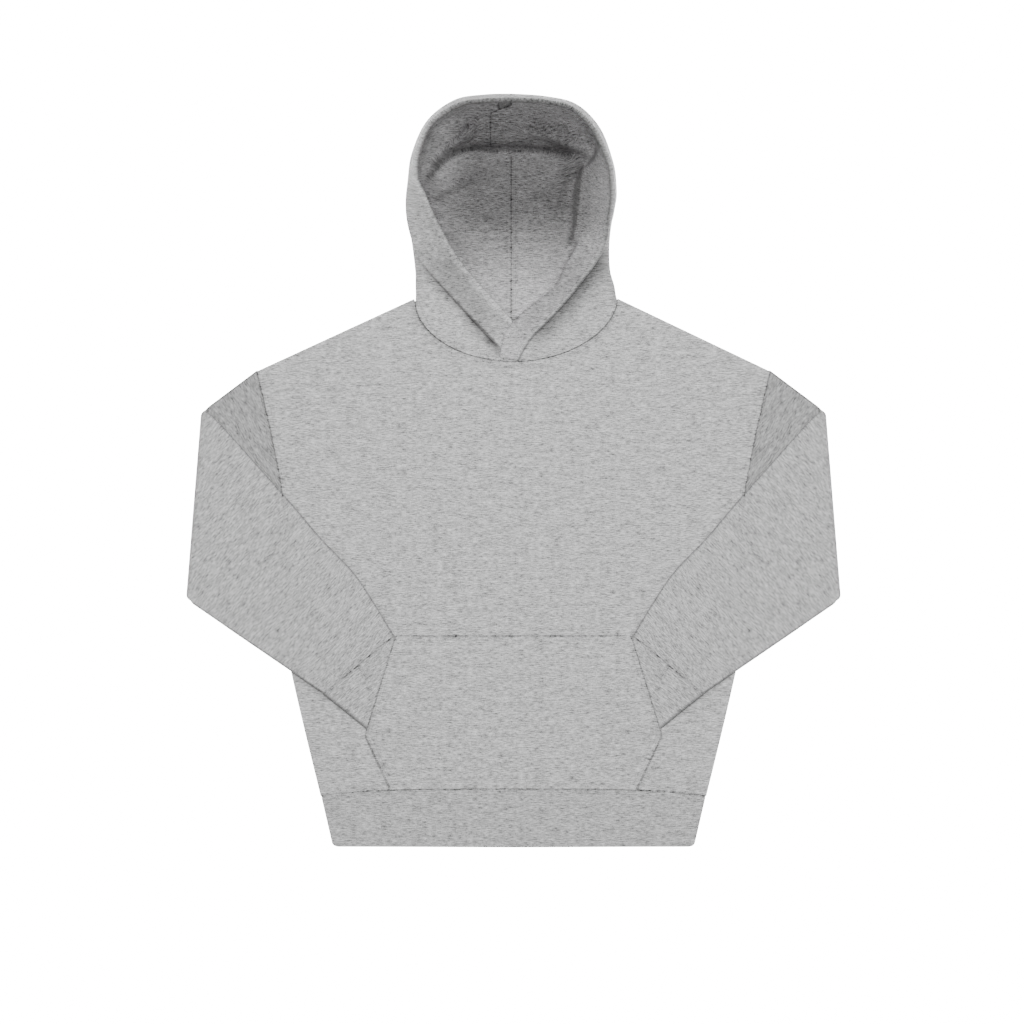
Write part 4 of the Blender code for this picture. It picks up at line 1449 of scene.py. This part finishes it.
@dataclass(frozen=True)
class Studio:
    """A pale floor, a broad soft light overhead, a flag that shades the crown, and a camera straight down."""

    view_width: float = 1.3107
    middle: tuple[float, float] = (-0.0019, -0.0537)
    sky: float = 0.46
    key_place: tuple[float, float, float] = (0.1, 0.5, 2.6)
    key_size: tuple[float, float] = (1.0, 1.0)
    key_power: float = 88.0
    flag_place: tuple[float, float, float] = (0.018, 0.408, 0.32)
    flag_size: tuple[float, float] = (0.215, 0.22)
    floor_glow: float = 17.0

    def light(self, name: str, place: tuple[float, ...], size: tuple[float, float], power: float) -> None:
        """An oval area light that faces the garment.

        Args:
            name: its name.
            place: where it hangs.
            size: its two diameters.
            power: in watts.
        """
        deselect()
        bpy.ops.object.light_add(type="AREA", location=place)
        lamp = bpy.context.object
        lamp.name = name
        lamp.data.shape = "ELLIPSE"
        lamp.data.size, lamp.data.size_y = size
        lamp.data.energy = power
        x, y, z = place
        lamp.rotation_euler = (math.atan2(math.hypot(x, y), z), 0, math.atan2(y, x) + math.pi / 2)

    def build(self) -> None:
        """Adds the floor, the light, the flag, the world and the camera."""
        deselect()
        bpy.ops.mesh.primitive_plane_add(size=60, location=(0, 0, -0.0004))
        floor = bpy.context.object
        floor.name = "floor"
        web = Web("floor_white")
        web.put(web.shader.inputs["Base Color"], (0.9, 0.9, 0.9, 1))
        web.put(web.shader.inputs["Roughness"], 0.9)
        web.put(web.shader.inputs["Specular IOR Level"], 0.0)
        web.put(web.shader.inputs["Emission Color"], (1, 1, 1, 1))
        web.put(web.shader.inputs["Emission Strength"], self.floor_glow)
        floor.data.materials.append(web.material)
        floor.visible_diffuse = False  # it looks white without lighting the cloth's edges
        world = bpy.data.worlds.new("studio")
        world.use_nodes = True
        world.node_tree.nodes["Background"].inputs["Color"].default_value = (1, 1, 1, 1)
        world.node_tree.nodes["Background"].inputs["Strength"].default_value = self.sky
        bpy.context.scene.world = world
        self.light("key", self.key_place, self.key_size, self.key_power)
        deselect()
        bpy.ops.mesh.primitive_plane_add(size=1, location=self.flag_place)
        flag = bpy.context.object
        flag.name = "flag"
        flag.scale = (*self.flag_size, 1)
        flag.visible_camera = False
        deselect()
        bpy.ops.object.camera_add(location=(*self.middle, 3.0), rotation=(0, 0, 0))
        camera = bpy.context.object
        camera.data.type = "ORTHO"
        camera.data.ortho_scale = self.view_width
        bpy.context.scene.camera = camera


# ---- the garment ----

BACK_CUT = Cut((628, 636), "laid", ("floor",), 350e3)
FRONT_CUT = Cut((628, 636), "laid", ("back_panel_cloth",), 340e3)
SLEEVE_CUT = Cut((480, 430), "folded", ("front_panel_cloth",), 143e3)
CUFF_CUT = Cut((214, 66), "folded", ("front_panel_cloth",))
FLEECE = HeatherFleece("heather_fleece", (0.44, 0.44, 0.44))
INSIDE = HeatherFleece("hood_inside_fleece", (0.45, 0.445, 0.45))
BANDS = HeatherFleece("band_fleece", (0.395, 0.395, 0.395))
# painted shade: the same fleece drawn a little darker on the sleeves
SHADED_SLEEVE_FLEECE = HeatherFleece("sleeve_fleece", (0.402, 0.402, 0.402))
# painted shadows on the front panel: beside the hood's edge, under the sleeves' and cuffs' lower edges, along
# the sleeves' upper edges and beside the pocket's sides
PAINTED_CONTACT_SHADOWS = (
    Crease(((120, 712), (126, 690), (122, 668), (104, 646), (78, 628)), 0.10, 12, 12, 0.4),
    Crease(((300, 244), (268, 219), (241, 197), (215, 178), (190, 156)), 0.36, 14, 14, 0.35),
    Crease(
        ((392, 553), (295, 445.5), (249, 392.5), (210.5, 353), (187.5, 322), (156, 272)), 0.20, 5, 5, 0.08
    ),
    Crease(((150, 262), (176, 187), (186, 152)), 0.10, 7, 7, 0.2),
)


SLEEVE_CREASES = {
    Side.LEFT: (
        Crease(((384, 540), (352, 486), (330, 430)), 1.6, 20, 30, 0.4),
        Crease(((368, 300), (318, 304), (262, 330)), 1.3, 26, 16, 0.4),
        Crease(((248, 232), (232, 268), (204, 300)), 1.4, 14, 20, 0.4),
    ),
    Side.RIGHT: (
        Crease(((388, 528), (350, 470), (338, 410)), 1.5, 26, 20, 0.4),
        Crease(((352, 286), (306, 300), (270, 340)), 1.4, 18, 26, 0.4),
        Crease(((252, 228), (226, 262), (212, 306)), 1.2, 18, 14, 0.4),
    ),
}
INNER_FOLDS = (
    Crease(((-34, 926), (-50, 916), (-74, 898), (-96, 880), (-112, 866)), 11.0, 24, 5, 0.25),
    Crease(((16, 922), (34, 914), (58, 905), (84, 893), (112, 880)), 11.0, 24, 5, 0.25),
    Crease(((-26, 870), (-48, 858), (-70, 849), (-92, 840), (-114, 826)), 6.0, 20, 4.5, 0.25),
    Crease(((-60, 832), (-84, 822), (-105, 811)), 3.4, 14, 4, 0.3),
    Crease(((30, 760), (52, 790), (64, 830)), 1.8, 18, 12, 0.4),
    Crease(((-60, 770), (-40, 800), (-30, 846)), 1.6, 16, 20, 0.4),
    Crease(((14, 842), (34, 826), (62, 822)), 2.6, 16, 9, 0.4),
    Crease(((-46, 806), (-22, 812), (-8, 800)), 2.4, 16, 9, 0.4),
    Crease(((44, 706), (50, 716), (61, 724)), 1.4, 4, 5, 0.3),
    Crease(((56, 712), (64, 722), (76, 728)), 1.1, 4, 4, 0.3),
    Crease(((-27, 905), (-25, 922), (-22, 944)), 3.0, 3, 5, 0.3),
    Crease(((-36, 899), (-37, 920), (-35, 938)), 2.2, 6, 3, 0.3),
)
STRIP_FOLDS = (
    Crease(((-130, 842), (-121, 810), (-116, 788), (-110, 764), (-104, 748)), 1.8, 4, 6, 0.25),
    Crease(((-120, 836), (-110, 806), (-100, 780), (-90, 764)), 1.2, 5, 6, 0.3),
    Crease(((-88, 728), (-66, 706), (-44, 684)), 1.0, 6, 8, 0.3),
)
# painted shadow on the left neck part, under the strip's rolled edge and at the crossing
LEFT_OVERHANG_PAINTED_SHADOW = (
    Crease(((-122, 756), (-110.7, 740.6), (-81.3, 707.3), (-55.7, 680.4), (-40, 662)), 0.42, 5, 16, 0.25),
    Crease(((-66, 690), (-55.7, 680.4), (-30.1, 653.6), (-17.3, 638.2), (-12, 630)), 0.60, 5, 19, 0.4),
    Crease(((-38, 660), (-26, 646), (-14, 632), (-6, 622)), 0.40, 6, 12, 0.4),
)
# painted shade on the left strip, with two painted highlights along its soft folds
LEFT_STRIP_PAINTED_SHADE_AND_HIGHLIGHT = (
    Crease(((-112, 778), (-84, 732), (-60, 703), (-36, 674), (-8, 640)), 0.36, 44, 44, 0.3),
    Crease(((-128, 822), (-123, 796), (-114, 764)), -0.20, 4, 5, 0.3),
    Crease(((-122, 836), (-114, 806), (-103, 778), (-97, 756)), -0.16, 4, 5, 0.3),
)
# painted shade on the right lapel
RIGHT_STRIP_PAINTED_SHADE = (Crease(((-12, 640), (10, 664), (34, 690), (70, 722), (100, 770)), 0.36, 40, 36, 0.3),)
# painted shadow on the right neck part, below and right of the lapel's edge
RIGHT_OVERHANG_PAINTED_SHADOW = (
    Crease(
        ((10, 634), (19, 651), (36, 669), (57, 691), (77, 714.5), (100, 745), (118, 780)), 0.68, 5, 30, 0.22
    ),
    Crease(((40, 640), (84, 690), (118, 740), (124, 790)), 0.12, 50, 50, 0.3),
)
# painted shade inside the hood: beside the band, down the left wall, beyond the crest, along the creases,
# under the left rim and at the back neck seam; painted highlight on the crown and before the crest
INNER_PAINTED_SHADE_AND_HIGHLIGHT = (
    Crease(((91, 884), (87, 856), (82, 808), (80, 792), (76, 777), (69, 762)), 0.45, 2, 14, 0.12),
    Crease(((-92, 932), (-112, 902), (-119, 868), (-116, 836), (-106, 806)), 0.42, 30, 12, 0.25),
    Crease(((-70, 950), (-20, 952), (40, 952), (98, 926)), -0.24, 60, 60, 0.1),
    Crease(
        ((-118, 838), (-94, 862), (-74, 880), (-40, 888), (10, 886), (52, 882), (90, 872)), -0.16, 5, 18, 0.2
    ),
    Crease(
        ((-117, 844), (-92, 871), (-72, 888), (-30, 896), (14, 895), (60, 890), (93, 879)), 0.42, 12, 3, 0.12
    ),
    Crease(((-40, 918), (-62, 905), (-84, 890), (-110, 865)), 0.42, 9, 5, 0.25),
    Crease(((20, 917), (52, 904), (84, 891), (113, 877)), 0.46, 4, 10, 0.3),
    Crease(((-26, 863), (-58, 850), (-84, 839), (-112, 822)), 0.36, 7, 6, 0.3),
    Crease(((-114, 800), (-100, 807), (-80, 813)), 0.30, 10, 8, 0.4),
    Crease(((-46, 810), (-22, 800), (-2, 796)), 0.24, 12, 14, 0.4),
    Crease(((14, 840), (38, 832), (68, 826)), 0.22, 12, 14, 0.4),
    Crease(((-11, 676.5), (9, 676.5)), 0.6, 3, 3, 0.12),
    Crease(((-104, 806), (-90, 788), (-70, 760), (-48, 732)), 0.22, 26, 4, 0.4),
)
HOOD_FLAT = (250, 340)
LEFT_HALF = HoodHalf(
    Side.LEFT,
    LEFT_RIBS,
    Cut(HOOD_FLAT, "gathered", ("back_panel_cloth", "floor"), 61e3),
    Cut(HOOD_FLAT, "gathered", ("hood_outer_left_cloth",), 58e3),
    outer_creases=STRIP_FOLDS,
    inner_creases=INNER_FOLDS,
    neck_shades=LEFT_OVERHANG_PAINTED_SHADOW,
    strip_shades=LEFT_STRIP_PAINTED_SHADE_AND_HIGHLIGHT,
    inner_shades=INNER_PAINTED_SHADE_AND_HIGHLIGHT,
)
RIGHT_HALF = HoodHalf(
    Side.RIGHT,
    RIGHT_RIBS,
    Cut(HOOD_FLAT, "gathered", ("back_panel_cloth", "floor"), 66e3),
    Cut(HOOD_FLAT, "gathered", ("hood_outer_right_cloth",), 62e3),
    outer_creases=(),
    inner_creases=INNER_FOLDS,
    neck_shades=RIGHT_OVERHANG_PAINTED_SHADOW,
    strip_shades=RIGHT_STRIP_PAINTED_SHADE,
    inner_shades=INNER_PAINTED_SHADE_AND_HIGHLIGHT,
    band=RIGHT_BAND,
)


def declare(obj: bpy.types.Object, material: bpy.types.Material) -> None:
    """Gives a piece its material, hangs it on the root body and hides the imported part that it stands for.

    Args:
        obj: the finished piece, named as its node and then "cloth".
        material: its finish.
    """
    obj.data.materials.append(material)
    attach(obj, "root")
    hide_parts(obj.name.removesuffix("_cloth"))
    LOG.info("%s: %d faces", obj.name, len(obj.data.polygons))


def main() -> None:
    """Builds every piece, then the studio."""
    logging.basicConfig(level=logging.INFO, format="%(message)s")
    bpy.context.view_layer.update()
    fleece, inside, bands, shaded_sleeves = FLEECE.make(), INSIDE.make(), BANDS.make(), SHADED_SLEEVE_FLEECE.make()
    back = Panel("back_panel", FLOOR, BACK_NECK_DROP, BACK_CUT, across=90, up=96, settles=False)
    front = Panel("front_panel", PLY + FLOOR, FRONT_NECK_DROP, FRONT_CUT, painted_shade=PAINTED_CONTACT_SHADOWS)
    for panel in (back, front):
        declare(panel.build(), fleece)
    hem = HemBand(Cut((970, 73), "folded", ("floor",)))
    declare(hem.build(), bands)
    for side in Side:
        sleeve = Sleeve(side, SLEEVE_CUT, SLEEVE_CREASES[side], 3 + side.value)
        declare(sleeve.build(), shaded_sleeves)
        cuff = Cuff(side, CUFF_CUT)
        declare(cuff.build(), bands)
    pocket = Pocket(Cuff(Side.RIGHT, CUFF_CUT), Cut((379, 196), "laid", ("front_panel_cloth",), 67e3))
    declare(pocket.build(), fleece)
    for half in (LEFT_HALF, RIGHT_HALF):
        outer, inner = half.build()
        declare(outer, fleece)
        declare(inner, inside)
    Studio().build()


if __name__ == "__main__":
    main()
